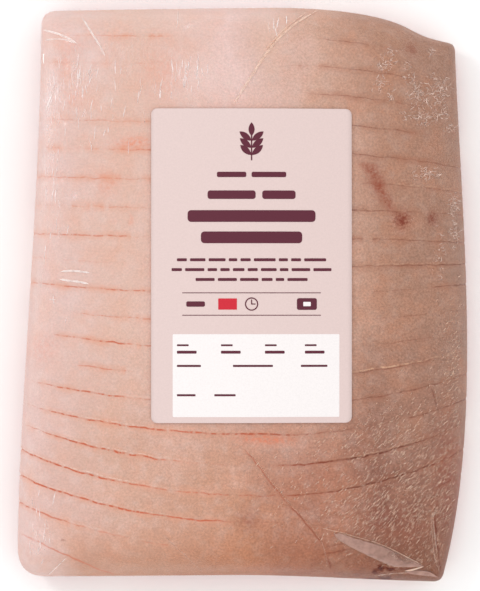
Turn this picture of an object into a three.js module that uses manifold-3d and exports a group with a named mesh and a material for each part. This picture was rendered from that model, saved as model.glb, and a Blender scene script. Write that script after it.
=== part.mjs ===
// A raw boneless pork roast, shrunk tight in a clear vacuum bag, with a paper label stuck on top.
// The rind is up and is scored from side to side, and the roast lies on its lean side.
//
// Millimetres, +Z up. Z = 0 is the surface that the roast lies on, and the origin is below the middle of the pack.
// X runs across the roast, along the scored cuts, and Y runs along it, from the front edge to the back one.
import * as THREE from "three";
import { ParametricGeometry } from "three/addons/geometries/ParametricGeometry.js";
import { mergeGeometries, mergeVertices } from "three/addons/utils/BufferGeometryUtils.js";
import Module from "manifold-3d";

// The pack seen from above: its corners before they are rounded, and how far each is rounded back.
const FRONT_LEFT = { x: -85.9, y: -107.3, round: 11.5 };
const BACK_LEFT = { x: -76.8, y: 108.4, round: 6.5 };
const BACK_RIGHT = { x: 81.4, y: 96.0, round: 3 };
const FRONT_RIGHT = { x: 76.2, y: -109.7, round: 3.5 };
// The points that pull its curved sides into shape, and two more that its ends pass through.
const LEFT_PULL = { front: { x: -85.3, y: -42 }, back: { x: -77.2, y: 34 } };
const RIGHT_PULL = { front: { x: 92.6, y: -47.5 }, back: { x: 83.6, y: 30.7 } };
const FRONT_PULL = { middle: { x: 22, y: -106.6 }, right: { x: 44, y: -108.6 } };
const BACK_PULL = { slope: { x: 53, y: 107.2 }, crest: { x: 36, y: 109.4 }, foot: { x: 70, y: 98.6 } };
const FRONT_MIDDLE = { x: -3, y: -106.6 };
const BACK_CREST = { x: 14, y: 109.6 }; // from here the back end falls away to the right
const BACK_SLOPE = { x: 63, y: 102.2 }; // the steepest point of that fall

// The crown of the rind, and how much lower it lies towards each side.
const CROWN_HEIGHT = 47;
const CREST_X = -2;
const SIDE_REACH = 82;
const END_REACH = 105;
const LEFT_FALL = 6;
const RIGHT_FALL = 17;
const END_FALL = 5;
const CORNER_FALL = 5; // more at the two right corners, where the meat is thin
const CORNER_REACH = 32;
const LUMP_HEIGHT = 0.6;

// The sides: rounded over at the top, widest part way up, and drawn in to the flat base.
const SHOULDER_LEFT = 12;
const SHOULDER_RIGHT = 21;
const WIDEST_SHARE = 0.46; // of the crown's height
const BASE_INSET = 9;
const SIDE_SQUARENESS = 2.4; // 2 is an ellipse, and more is nearer to a square corner

// The cuts in the rind. Each one bows towards the front in its middle, and more so near the front.
const CUT_COUNT = 19;
const FIRST_CUT_Y = 97.3;
const CUT_PITCH = 10.74;
const CUT_HALF_WIDTH = 1.4;
const CUT_DEPTH = 1.1;
const STRIP_SWELL = 0.35; // the strips of rind stand this much proud between two cuts
const BOW_MIDDLE_X = 12;
const BOW_SHARE = 0.155;
const BOW_START_LEFT_Y = 26;
const BOW_START_RIGHT_Y = 21;

// The pleat where the bag's spare film gathers over the thin front right corner.
const PLEAT = { x: 51.5, y: -97.6, halfLength: 23, halfWidth: 3.2, height: 1.6, turn: -22 };

// The label.
const LABEL_WIDTH = 75.4;
const LABEL_LENGTH = 118.1;
const LABEL_CENTRE = { x: 3.4, y: 11.1 };
const LABEL_CORNER = 2.2;
const LABEL_THICKNESS = 0.3;
const LABEL_GAP = 0.12; // what the film leaves between the label and the rind

const smoothstep = THREE.MathUtils.smoothstep;
const lerp = THREE.MathUtils.lerp;

// The point that lies `distance` from corner `a` on the way to `b`.
function towards(a, b, distance) {
  const way = new THREE.Vector2(b.x - a.x, b.y - a.y).setLength(distance);
  return new THREE.Vector2(a.x, a.y).add(way);
}

// The pack's outline from above, anticlockwise from the left side.
function packOutline() {
  const outline = new THREE.Shape();
  const curve = (pullA, pullB, end) => outline.bezierCurveTo(pullA.x, pullA.y, pullB.x, pullB.y, end.x, end.y);
  const corner = (at, after) => {
    const end = towards(at, after, at.round);
    outline.quadraticCurveTo(at.x, at.y, end.x, end.y);
  };
  const leftEnd = towards(FRONT_LEFT, LEFT_PULL.front, FRONT_LEFT.round);
  outline.moveTo(leftEnd.x, leftEnd.y);
  corner(FRONT_LEFT, FRONT_MIDDLE);
  outline.lineTo(FRONT_MIDDLE.x, FRONT_MIDDLE.y);
  curve(FRONT_PULL.middle, FRONT_PULL.right, towards(FRONT_RIGHT, FRONT_PULL.right, FRONT_RIGHT.round));
  corner(FRONT_RIGHT, RIGHT_PULL.front);
  curve(RIGHT_PULL.front, RIGHT_PULL.back, towards(BACK_RIGHT, RIGHT_PULL.back, BACK_RIGHT.round));
  corner(BACK_RIGHT, BACK_PULL.foot);
  curve(BACK_PULL.foot, BACK_PULL.foot, BACK_SLOPE);
  curve(BACK_PULL.slope, BACK_PULL.crest, BACK_CREST);
  const backEnd = towards(BACK_LEFT, BACK_CREST, BACK_LEFT.round);
  outline.lineTo(backEnd.x, backEnd.y);
  corner(BACK_LEFT, LEFT_PULL.back);
  curve(LEFT_PULL.back, LEFT_PULL.front, leftEnd);
  return outline;
}

// The outline as a ring of close points, cut into its four sides at the middles of the rounded corners.
const RING_POINTS = 1440;
const ring = packOutline().getSpacedPoints(RING_POINTS).slice(0, RING_POINTS);

function cornerIndex(signX, signY) {
  const reach = ring.map((p) => signX * p.x + signY * p.y);
  return reach.indexOf(Math.max(...reach));
}

// The ring's points from one index to another, going anticlockwise.
function ringSide(from, to) {
  const count = (to - from + RING_POINTS) % RING_POINTS;
  return Array.from({ length: count + 1 }, (_, i) => ring[(from + i) % RING_POINTS]);
}

const atFrontLeft = cornerIndex(-1, -1);
const atFrontRight = cornerIndex(1, -1);
const atBackRight = cornerIndex(1, 1);
const atBackLeft = cornerIndex(-1, 1);
const frontSide = ringSide(atFrontLeft, atFrontRight);
const rightSide = ringSide(atFrontRight, atBackRight);
const backSide = ringSide(atBackRight, atBackLeft).reverse();
const leftSide = ringSide(atBackLeft, atFrontLeft).reverse();

// A side's point at a share of its length, and the side's point at a given y.
function alongSide(side, share) {
  const place = share * (side.length - 1);
  const first = Math.min(Math.floor(place), side.length - 2);
  return new THREE.Vector2().lerpVectors(side[first], side[first + 1], place - first);
}

function sideAtY(side, y) {
  const next = Math.max(1, side.findIndex((p) => p.y >= y));
  const [a, b] = [side[next - 1], side[next]];
  return new THREE.Vector2().lerpVectors(a, b, (y - a.y) / (b.y - a.y));
}

// How far inside the outline a point is.
function depthInside(x, y) {
  let nearest = Infinity;
  for (let i = 0; i < RING_POINTS; i += 1) {
    const [a, b] = [ring[i], ring[(i + 1) % RING_POINTS]];
    const [alongX, alongY] = [b.x - a.x, b.y - a.y];
    const share = ((x - a.x) * alongX + (y - a.y) * alongY) / (alongX ** 2 + alongY ** 2);
    const held = THREE.MathUtils.clamp(share, 0, 1);
    nearest = Math.min(nearest, (x - a.x - held * alongX) ** 2 + (y - a.y - held * alongY) ** 2);
  }
  return Math.sqrt(nearest);
}

// The height of the smooth rind, away from the rounded edges.
function crownHeight(x, y) {
  const left = Math.min(0, x - CREST_X) / SIDE_REACH;
  const right = Math.max(0, x - CREST_X) / SIDE_REACH;
  const cornerPull = (corner) =>
    Math.exp(-((x - corner.x) ** 2 + (y - corner.y) ** 2) / (2 * CORNER_REACH ** 2));
  const lumps = Math.sin(x / 19 + 0.6) * Math.sin(y / 26 + 1.1);
  return CROWN_HEIGHT - LEFT_FALL * left ** 2 - RIGHT_FALL * right ** 1.6 - END_FALL * (y / END_REACH) ** 2
    - CORNER_FALL * (cornerPull(BACK_RIGHT) + cornerPull(FRONT_RIGHT)) + LUMP_HEIGHT * lumps;
}

function widestHeight(x, y) {
  return WIDEST_SHARE * crownHeight(x, y);
}

// The height of the top with its rounded shoulder, and without the cuts.
function topHeight(x, y) {
  const shoulder = lerp(SHOULDER_LEFT, SHOULDER_RIGHT, smoothstep(x, 0, SIDE_REACH));
  const out = Math.max(0, 1 - depthInside(x, y) / shoulder);
  const low = widestHeight(x, y);
  return low + (crownHeight(x, y) - low) * Math.sqrt(1 - out ** 2);
}

// One line across the roast that runs as the cuts do. `middleY` is where it crosses the middle.
function lineAcross(middleY) {
  const leftRise = BOW_SHARE * Math.max(0, BOW_START_LEFT_Y - middleY);
  const rightRise = BOW_SHARE * (BOW_START_RIGHT_Y - middleY);
  const left = sideAtY(leftSide, middleY + leftRise);
  const right = sideAtY(rightSide, middleY + rightRise);
  return (share) => {
    const x = lerp(left.x, right.x, share);
    const [end, rise] = x < BOW_MIDDLE_X ? [left.x, leftRise] : [right.x, rightRise];
    const bow = ((x - BOW_MIDDLE_X) / (end - BOW_MIDDLE_X)) ** 2;
    return new THREE.Vector2(x, middleY + rise * bow);
  };
}

// Steps from 0 to 1 across a rounded shoulder, closer together where it is steep.
function shoulderSteps(count) {
  return Array.from({ length: count }, (_, i) => 1 - Math.cos((i / count) * (Math.PI / 2)));
}

// The places of the grid's columns, from the left side to the right one.
function columnShares() {
  const width = BACK_RIGHT.x - FRONT_LEFT.x;
  const [leftShare, rightShare] = [SHOULDER_LEFT / width, SHOULDER_RIGHT / width];
  const middleColumns = 13;
  const middle = Array.from({ length: middleColumns + 1 }, (_, i) =>
    lerp(leftShare, 1 - rightShare, i / middleColumns));
  const left = shoulderSteps(4).map((step) => step * leftShare);
  const right = shoulderSteps(5).map((step) => 1 - step * rightShare).reverse();
  return [...left, ...middle, ...right];
}

// The grid's rows, from the front edge to the back one. Each has a line and how deep the cut is there.
function gridRows() {
  const rows = [];
  for (let cut = CUT_COUNT - 1; cut >= 0; cut -= 1) {
    const y = FIRST_CUT_Y - cut * CUT_PITCH;
    rows.push({ line: lineAcross(y - CUT_HALF_WIDTH), depth: 0 });
    rows.push({ line: lineAcross(y), depth: CUT_DEPTH });
    rows.push({ line: lineAcross(y + CUT_HALF_WIDTH), depth: 0 });
    if (cut > 0) rows.push({ line: lineAcross(y + CUT_PITCH / 2), depth: -STRIP_SWELL });
  }
  const between = (edge, line, share) => {
    const row = (u) => edge(u).lerp(line(u), share);
    const left = sideAtY(leftSide, row(0).y).sub(row(0));
    const right = sideAtY(rightSide, row(1).y).sub(row(1));
    return (u) => row(u).addScaledVector(left, 1 - u).addScaledVector(right, u);
  };
  const frontEdge = (u) => alongSide(frontSide, u);
  const backEdge = (u) => alongSide(backSide, u);
  const frontShares = [0, 0.04, 0.15, 0.33, 0.55, 0.78];
  const backShares = [0, 0.08, 0.27, 0.6];
  const front = frontShares.map((share) => ({ line: between(frontEdge, rows[0].line, share), depth: 0 }));
  const last = rows[rows.length - 1].line;
  const back = backShares.map((share) => ({ line: between(backEdge, last, share), depth: 0 }));
  return [...front, ...rows, ...back.reverse()];
}

// A three.js surface through a table of points, row by row.
function surfaceThrough(table) {
  const [rows, columns] = [table.length - 1, table[0].length - 1];
  return new ParametricGeometry(
    (u, v, point) => point.copy(table[Math.round(v * rows)][Math.round(u * columns)]), columns, rows);
}

// The points round the edge of a table, anticlockwise from its first point, which comes again at the end.
function edgeOf(table) {
  const last = table.length - 1;
  const right = table.slice(1).map((row) => row[row.length - 1]);
  const left = table.slice(0, last).map((row) => row[0]);
  return [...table[0], ...right, ...table[last].slice(0, -1).reverse(), ...left.reverse()];
}

function turnedOver(geometry) {
  const index = geometry.index.array;
  for (let i = 0; i < index.length; i += 3) [index[i], index[i + 1]] = [index[i + 1], index[i]];
  return geometry;
}

// One closed geometry from the surfaces that bound a solid, whose edges share their points.
function closedGeometry(surfaces) {
  const bare = surfaces.map((surface) => {
    surface.deleteAttribute("normal");
    surface.deleteAttribute("uv");
    return surface;
  });
  const closed = mergeVertices(mergeGeometries(bare), 1e-4);
  closed.computeVertexNormals();
  return closed;
}

// The roast in its bag: the scored top, the sides down to the base, and the flat base.
function packGeometry() {
  const shares = columnShares();
  const top = gridRows().map(({ line, depth }) => shares.map((share) => {
    const at = line(share);
    const shallow = smoothstep(depthInside(at.x, at.y), 0, SHOULDER_LEFT / 2);
    return new THREE.Vector3(at.x, at.y, topHeight(at.x, at.y) - depth * shallow);
  }));
  const rim = edgeOf(top);
  const sideRings = 5;
  const sides = Array.from({ length: sideRings + 1 }, (_, i) => {
    const turn = ((i / sideRings) * Math.PI) / 2;
    const down = Math.sin(turn) ** (2 / SIDE_SQUARENESS);
    const inset = BASE_INSET * (1 - Math.cos(turn) ** (2 / SIDE_SQUARENESS));
    const [shrinkX, shrinkY] = [1 - inset / SIDE_REACH, 1 - inset / END_REACH];
    return rim.map((p) => new THREE.Vector3(p.x * shrinkX, p.y * shrinkY, p.z * (1 - down)));
  });
  const foot = sides[sideRings].slice(0, -1).map((p) => new THREE.Vector2(p.x, p.y));
  const base = turnedOver(new THREE.ShapeGeometry(new THREE.Shape(foot)));
  return closedGeometry([surfaceThrough(top), turnedOver(surfaceThrough(sides)), base]);
}

// The lens of loose film at the front right corner, half sunk in the pack.
function pleatGeometry() {
  const pleat = new THREE.SphereGeometry(1, 12, 16);
  pleat.rotateZ(Math.PI / 2);
  pleat.scale(PLEAT.halfLength, PLEAT.halfWidth, PLEAT.height);
  pleat.rotateZ(THREE.MathUtils.degToRad(PLEAT.turn));
  pleat.translate(PLEAT.x, PLEAT.y, 0);
  const place = pleat.getAttribute("position");
  for (let i = 0; i < place.count; i += 1) {
    place.setZ(i, place.getZ(i) + topHeight(place.getX(i), place.getY(i)));
  }
  return closedGeometry([pleat]);
}

// A paper label that lies on the crown of the rind and bends with it.
function labelGeometry() {
  const cornerRows = 3;
  const middleRows = 14;
  const columns = 10;
  const straight = LABEL_LENGTH / 2 - LABEL_CORNER;
  const arc = shoulderSteps(cornerRows).map((step) => LABEL_LENGTH / 2 - step * LABEL_CORNER);
  const middle = Array.from({ length: middleRows + 1 }, (_, i) => lerp(-straight, straight, i / middleRows));
  const rowPlaces = [...arc.map((y) => -y), ...middle, ...arc.reverse()];
  const face = (lift) => rowPlaces.map((y) => {
    const intoCorner = Math.max(0, Math.abs(y) - straight);
    const cornerReach = LABEL_CORNER * Math.sqrt(Math.max(0, 1 - (intoCorner / LABEL_CORNER) ** 2));
    const halfWidth = LABEL_WIDTH / 2 - LABEL_CORNER + cornerReach;
    return Array.from({ length: columns + 1 }, (_, i) => {
      const x = LABEL_CENTRE.x + lerp(-halfWidth, halfWidth, i / columns);
      return new THREE.Vector3(x, LABEL_CENTRE.y + y, topHeight(x, LABEL_CENTRE.y + y) + lift);
    });
  });
  const under = face(STRIP_SWELL + LABEL_GAP);
  const over = face(STRIP_SWELL + LABEL_GAP + LABEL_THICKNESS);
  const edge = surfaceThrough([edgeOf(under), edgeOf(over)]);
  return closedGeometry([surfaceThrough(over), turnedOver(surfaceThrough(under)), edge]);
}

const wasm = await Module();
wasm.setup();

function solidFrom(geometry) {
  return new wasm.Manifold(new wasm.Mesh({
    numProp: 3,
    vertProperties: geometry.getAttribute("position").array,
    triVerts: new Uint32Array(geometry.index.array),
  }));
}

function geometryFrom(solid) {
  const mesh = solid.getMesh();
  const geometry = new THREE.BufferGeometry();
  geometry.setAttribute("position", new THREE.BufferAttribute(mesh.vertProperties, 3));
  geometry.setIndex(new THREE.BufferAttribute(mesh.triVerts, 1));
  geometry.computeVertexNormals();
  return geometry;
}

function sealedRoast() {
  const joined = solidFrom(packGeometry()).add(solidFrom(pleatGeometry()));
  const material = new THREE.MeshStandardMaterial({ color: 0xdfb4a2, roughness: 0.35, metalness: 0 });
  const mesh = new THREE.Mesh(geometryFrom(joined), material);
  mesh.name = "sealed_roast";
  return mesh;
}

function label() {
  const material = new THREE.MeshStandardMaterial({ color: 0xebd5d0, roughness: 0.6, metalness: 0 });
  const mesh = new THREE.Mesh(labelGeometry(), material);
  mesh.name = "label";
  return mesh;
}

const pack = new THREE.Group();
pack.add(sealedRoast(), label());

export default pack;
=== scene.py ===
"""A raw pork roast with scored rind, shrunk tight in a clear vacuum bag, with a paper label on top.

The roast and the film are two closed skins over one measured form. All lengths below are millimetres
in the frame of the CAD model: X across the roast, along its cuts, Y along it, and Z up.
"""
import math

import bpy
import numpy as np
from bpy.props import FloatProperty, FloatVectorProperty, PointerProperty
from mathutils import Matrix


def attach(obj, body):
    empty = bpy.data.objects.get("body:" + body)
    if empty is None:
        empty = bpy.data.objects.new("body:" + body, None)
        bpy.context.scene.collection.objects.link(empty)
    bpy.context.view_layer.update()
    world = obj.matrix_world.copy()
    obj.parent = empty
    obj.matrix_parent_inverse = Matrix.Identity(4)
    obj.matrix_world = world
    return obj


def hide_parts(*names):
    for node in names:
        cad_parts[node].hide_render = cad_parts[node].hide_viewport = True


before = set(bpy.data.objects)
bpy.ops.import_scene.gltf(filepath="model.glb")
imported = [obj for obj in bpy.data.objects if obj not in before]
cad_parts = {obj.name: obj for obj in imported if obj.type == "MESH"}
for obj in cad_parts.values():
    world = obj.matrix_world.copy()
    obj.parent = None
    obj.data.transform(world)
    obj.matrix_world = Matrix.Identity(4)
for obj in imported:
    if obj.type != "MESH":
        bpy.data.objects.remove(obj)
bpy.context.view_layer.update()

bl_info = {
    "name": "Vacuum-packed pork roast",
    "version": (1, 0, 0),
    "blender": (4, 5, 0),
    "location": "View3D > Sidebar > Pork roast",
    "description": "Builds a scored pork roast in a clear vacuum bag, with its label",
    "category": "Add Mesh",
}

MM = 0.001

# The outline from above: corners before rounding, as x, y and how far each is rounded back
FRONT_LEFT = (-85.9, -107.3, 11.5)
BACK_LEFT = (-76.8, 108.4, 6.5)
BACK_RIGHT = (81.4, 96.0, 3.0)
FRONT_RIGHT = (76.2, -109.7, 3.5)
# The points that pull its sides into curves, and those that its ends pass through
LEFT_PULLS = ((-85.3, -42.0), (-77.2, 34.0))
RIGHT_PULLS = ((92.6, -47.5), (83.6, 30.7))
FRONT_PULLS = ((22.0, -106.6), (44.0, -108.6))
BACK_PULLS = ((70.0, 98.6), (53.0, 107.2), (36.0, 109.4))
FRONT_MIDDLE = (-3.0, -106.6)
BACK_CREST = (14.0, 109.6)
BACK_SLOPE = (63.0, 102.2)
RING_POINTS = 1440

# The crown of the rind and its fall towards the sides
CROWN_HEIGHT = 47.0
CREST_X = -2.0
SIDE_REACH = 82.0
END_REACH = 105.0
LEFT_FALL = 6.0
RIGHT_FALL = 17.0
RIGHT_FALL_POWER = 1.6
END_FALL = 5.0
CORNER_FALL = 5.0
CORNER_REACH = 32.0
LUMP_HEIGHT = 0.6
LUMP_WAVES = ((19, 0.6), (26, 1.1))
SHOULDER_LEFT = 12.0
SHOULDER_RIGHT = 21.0
WIDEST_SHARE = 0.46
BASE_INSET = 9.0
BASE_SHRINKS = (0.94, 0.8, 0.55, 0.28)
SIDE_POWER = 2.0 / 2.4

# The y of each cut at the left side, in the middle and at the right side. The first line lies behind
# the back cut, and is no cut. Nor is the last, which only guides the rows near the front.
CUT_LEVELS = (
    (108.3, 107.7, 97.2), (98.1, 97.2, 87.9), (87.9, 86.7, 78.6), (77.2, 76.2, 68.5), (66.2, 65, 58.6),
    (55.9, 54.1, 48.4), (44.9, 43.2, 38.9), (34.3, 32.4, 30.5), (23.3, 21.5, 19.9), (14.5, 10.6, 11.9),
    (5, 0.5, 4.3), (-4.5, -10, -5.2), (-12.8, -20.5, -13.2), (-22.3, -31, -20.8), (-31.4, -41.2, -29.9),
    (-40.6, -52.4, -39.4), (-48.2, -64, -48.2), (-58.4, -75.3, -58.8), (-67.9, -85.4, -68.3),
    (-78.2, -96.3, -77.8), (-90.3, -106.8, -87.3),
)
CUT_COUNT = 19
CUT_PITCH = 10.77
# Where the rind ends and the meat begins, as shares of the turn from the rim down to the base
RIND_EDGE = 0.07
FAT_EDGE = 0.25
# How far each cut gapes along its length, as pairs of x and tenths of the full gape
GAPES = (
    ((-86, 1), (-74, 3), (-51, 6), (-30, 6), (-26, 1), (28, 1), (32, 5), (55, 5), (66, 1)),
    ((-86, 1), (-74, 4), (-31, 3), (-27, 0), (15, 0), (22, 4), (40, 6), (60, 8), (66, 2)),
    ((-86, 0), (20, 0), (26, 5), (48, 6), (66, 5), (76, 2)),
    ((-80, 4), (-72, 8), (-55, 9), (-45, 4), (-35, 5), (42, 9), (62, 8), (68, 3)),
    ((-80, 4), (-70, 6), (-64, 2), (-52, 6), (-35, 10), (50, 9), (60, 6), (80, 8)),
    ((-80, 7), (-74, 10), (-54, 10), (-50, 7), (-35, 5), (40, 3), (60, 6), (85, 5)),
    ((-80, 4), (-70, 3), (-62, 6), (-48, 6), (-35, 2), (40, 9), (60, 8), (70, 3), (80, 6)),
    ((-82, 9), (-70, 10), (-45, 9), (-38, 2), (40, 7), (55, 5), (65, 8), (85, 9)),
    ((-82, 3), (-60, 3), (-50, 1), (-35, 0), (40, 4), (60, 8), (85, 10)),
    ((-82, 6), (-60, 8), (-45, 9), (-35, 7), (40, 1), (52, 4), (65, 4), (70, 1), (75, 8)),
    ((-82, 0), (-70, 2), (-60, 5), (-35, 5), (45, 1), (52, 3), (66, 4), (85, 2)),
    ((-82, 1), (-72, 3), (-65, 8), (-47, 10), (-42, 6), (-35, 6), (45, 1), (55, 4), (85, 3)),
    ((-82, 0), (-65, 1), (-60, 5), (-44, 6), (-40, 1), (40, 5), (60, 5), (72, 4), (78, 1)),
    ((-82, 1), (-76, 4), (-66, 9), (-48, 10), (-42, 4), (-35, 3), (42, 4), (55, 6), (72, 7), (77, 3),
     (85, 6)),
    ((-84, 3), (-74, 5), (-68, 9), (-38, 10), (-25, 8), (-5, 10), (10, 10), (20, 6), (35, 5), (45, 2),
     (65, 5), (85, 8)),
    ((-84, 4), (-76, 6), (-68, 10), (-35, 10), (-28, 5), (-15, 2), (12, 2), (16, 9), (40, 10), (60, 9),
     (72, 5), (85, 4)),
    ((-85, 10), (-55, 10), (-40, 7), (-25, 4), (-15, 6), (12, 5), (20, 7), (50, 8), (68, 9), (75, 6),
     (85, 8)),
    ((-85, 10), (-60, 10), (-40, 10), (-35, 7), (-15, 9), (-5, 5), (5, 2), (40, 1), (70, 2), (76, 5)),
    ((-86, 9), (-68, 7), (-60, 3), (-25, 3), (-20, 1), (30, 1), (33, 4), (42, 4), (46, 1)),
)
BOW_MIDDLE_X = 12.0
BOW_POWER_LEFT = 2.3
BOW_POWER_RIGHT = 2.05
GROOVE_HALF_WIDTH = 0.45
STRIP_SWELL = 0.15
# The lengths of the dashes that an open cut breaks up into
LONG_DASH = 9.0
SHORT_DASH = 3.4
# How far from the rim the swell is whole, and how wide the painted shade along the rim is
SWELL_START = 9.0
RIM_SHADE_WIDTH = 5.0
# The grooves in the roast's side at the rind's edge and under the fat, and the bulges of the lean
RIND_STEP = 0.6
RIND_STEP_WIDTH = 0.016
FAT_STEP = 0.35
FAT_STEP_WIDTH = 0.03
MEAT_BULGE = 0.5
BULGE_SIZE = 24.0
# The film: its gap over the roast, its dip into open cuts, and the taper and root of its folds
FILM_GAP = 0.3
FILM_DIP = 0.25
FILM_DIP_WIDTH = 0.9
FOLD_TAPER = 0.12
FOLD_ROOT = 0.06
# How many times a skin's normals are evened out before it is pushed in
NORMAL_ROUNDS = 5

# The label
LABEL_WIDTH = 75.4
LABEL_LENGTH = 118.1
LABEL_CENTRE = (3.4, 11.1)
LABEL_CORNER = 2.2
LABEL_LOW = 0.47
LABEL_HIGH = 0.77

# Folds of film on top: name, width, height, haze, which also paints white glints, and the points that each
# runs through
TOP_FOLDS = (
    ("fold_back", 0.95, 0.35, 0.6, ((28.5, 108), (20.5, 103), (13.4, 96.6), (7.6, 89), (2, 80.2),
     (-3.6, 71.2))),
    ("fold_back_twin", 0.6, 0.25, 0.5, ((24.3, 107.2), (18.3, 102.6), (13, 97.4), (8.8, 92.2))),
    ("fold_top", 0.4, 0.2, 0.35, ((-24.3, 108), (-24.6, 105), (-23.9, 102.6), (-25, 100))),
    ("fold_front", 0.4, 0.2, 0.12, ((0.4, -56.4), (8.6, -66.6), (17.1, -77.7), (26.2, -87.2), (30.2, -93.2),
     (31.6, -99), (32.4, -104.4))),
    ("fold_front_right", 0.5, 0.3, 0.3, ((72, -82), (72.4, -87), (73.2, -92.6), (73.9, -98))),
    ("fold_right_corner", 0.4, 0.25, 0.2, ((71.4, -84), (72.3, -94), (73.1, -100.6), (75.4, -106))),
    ("fold_back_left", 0.7, 0.3, 0.7, ((-60.6, 105), (-57.6, 100.1), (-55.7, 97.1), (-53.4, 93.3),
     (-51.5, 89.6))),
    ("fold_left", 0.8, 0.3, 0.8, ((-75.7, 100.5), (-70.8, 99), (-65.1, 96.7), (-62.1, 94.5))),
    ("fold_left_low", 0.7, 0.25, 0.6, ((-74.9, 96.4), (-70.8, 96.7), (-66.6, 96.5), (-63.2, 94.8))),
    ("fold_left_side", 0.7, 0.3, 0.7, ((-71.2, 76.8), (-72.4, 74.4), (-73.6, 72.2), (-74, 69.6))),
    ("fold_left_rim", 0.45, 0.25, 0.7, ((-75.2, 91.6), (-75.3, 89.6), (-75.1, 87.4))),
    ("glint_streak_back", 0.8, 0.3, 0.9, ((-68.5, 8.8), (-65.1, 9.4), (-60.4, 8.9), (-57.2, 8.4))),
    ("glint_streak_front", 0.8, 0.3, 0.9, ((-69, 6.1), (-65, 5.4), (-60.4, 5), (-57.6, 4.2))),
    ("glint_streak_left", 0.4, 0.2, 0.6, ((-72.8, -1.3), (-71.4, -1.7), (-70, -1.6))),
    ("fold_front_left", 0.45, 0.3, 0.45, ((-66.2, -98.8), (-70.6, -103), (-73.6, -106))),
    ("fold_front_faint", 0.3, 0.15, 0.12, ((-30, -89.6), (-25.4, -94.4), (-20.8, -98.4), (-15.2, -104.6))),
    ("fold_fork", 0.4, 0.2, 0.15, ((70, -33), (72.4, -33.4), (73, -36), (74, -42))),
    ("pocket_back_edge", 0.42, 0.3, 0.4, ((29.3, -87.5), (34.2, -88.8), (38.7, -89.9), (43.2, -91.4),
     (49.3, -93.1), (53, -94.5), (57.2, -96.5), (63.2, -99.8), (68.9, -102.8))),
    ("pocket_front_edge", 0.4, 0.3, 0.3, ((34.4, -90.3), (35.9, -92), (43.2, -96.2), (51.5, -100.3),
     (57.2, -103.2))),
    ("pocket_crease", 0.35, 0.25, 0.5, ((57.2, -97.6), (57.9, -100.2), (57.3, -102.8))),
    ("pocket_hem", 0.4, 0.3, 0.3, ((49.6, -106.6), (54.4, -105.9), (59, -105.6), (63.2, -105.4))),
    ("pocket_glint", 0.6, 0.5, 0.95, ((61.4, -104.8), (64, -104.4), (66.3, -103.9), (69, -103))),
)
# Lenses of loose film over the thin front right corner, clear only in a wedge: name, height, back edge
# and front edge
LENS_HAZE = 0.8
POCKET_TINT = (180, 141, 128)
SHEEN_ROUGHNESS = 0.3
CLEAR_WEDGE = (
    (1, 60.4, -99.4, 3.8, 1.2, -28), (0.32, 56, -98, 8, 3.5, -28),
)
FILM_LENSES = (
    ("film_pocket", 1.4, ((34.4, -90.1), (36.8, -89.6), (41.3, -91.4), (49.3, -93.7), (53, -94.8),
     (57.2, -96.9), (60.2, -98.2), (66.3, -101.6), (68.7, -103)), ((34.4, -90.1), (35.9, -92),
     (39.6, -94.3), (47.4, -98.4), (54.7, -101.8), (57.2, -103), (64, -103.1), (68.7, -103))),
    ("film_tip", 0.6, ((61.7, -105.2), (64.4, -104.7), (67.4, -104.5), (70.8, -105), (72.7, -106),
     (74.6, -107.5)), ((61.7, -105.2), (64.7, -106), (68.5, -106.5), (71.5, -106.9), (74.6, -107.5))),
)


def lerp(a, b, share):
    return a + (b - a) * share


def smoothstep(value, low, high):
    share = np.clip((value - low) / (high - low), 0.0, 1.0)
    return share * share * (3.0 - 2.0 * share)


def ripple(x, y, size, seed, waves=7):
    """Smooth bumps about `size` across, between about -1 and 1, the same on every run."""
    rng = np.random.default_rng(seed)
    total = np.zeros(np.broadcast(x, y).shape)
    for _ in range(waves):
        angle, phase = rng.uniform(0, 2 * math.pi, 2)
        pitch = size * rng.uniform(0.7, 1.5)
        total += np.sin((x * math.cos(angle) + y * math.sin(angle)) * 2 * math.pi / pitch + phase)
    return total / math.sqrt(waves) / 1.2


# The form of the pack

def towards(corner, target, distance):
    way = np.subtract(target[:2], corner[:2])
    return np.asarray(corner[:2]) + way / np.linalg.norm(way) * distance


def bezier(points, steps):
    """A Bezier curve of any degree, without its last point."""
    rest = np.asarray(points, dtype=float)[:, None, :]
    share = np.linspace(0.0, 1.0, steps, endpoint=False)[None, :, None]
    while len(rest) > 1:
        rest = lerp(rest[:-1], rest[1:], share)
    return rest[0]


def evenly_spaced(points, count, endpoint):
    """Points at equal steps along a line of points."""
    points = np.asarray(points, dtype=float)
    run = np.concatenate([[0.0], np.cumsum(np.linalg.norm(np.diff(points, axis=0), axis=1))])
    places = np.linspace(0.0, run[-1], count, endpoint=endpoint)
    return np.stack([np.interp(places, run, points[:, axis]) for axis in range(points.shape[1])], axis=1)


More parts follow.
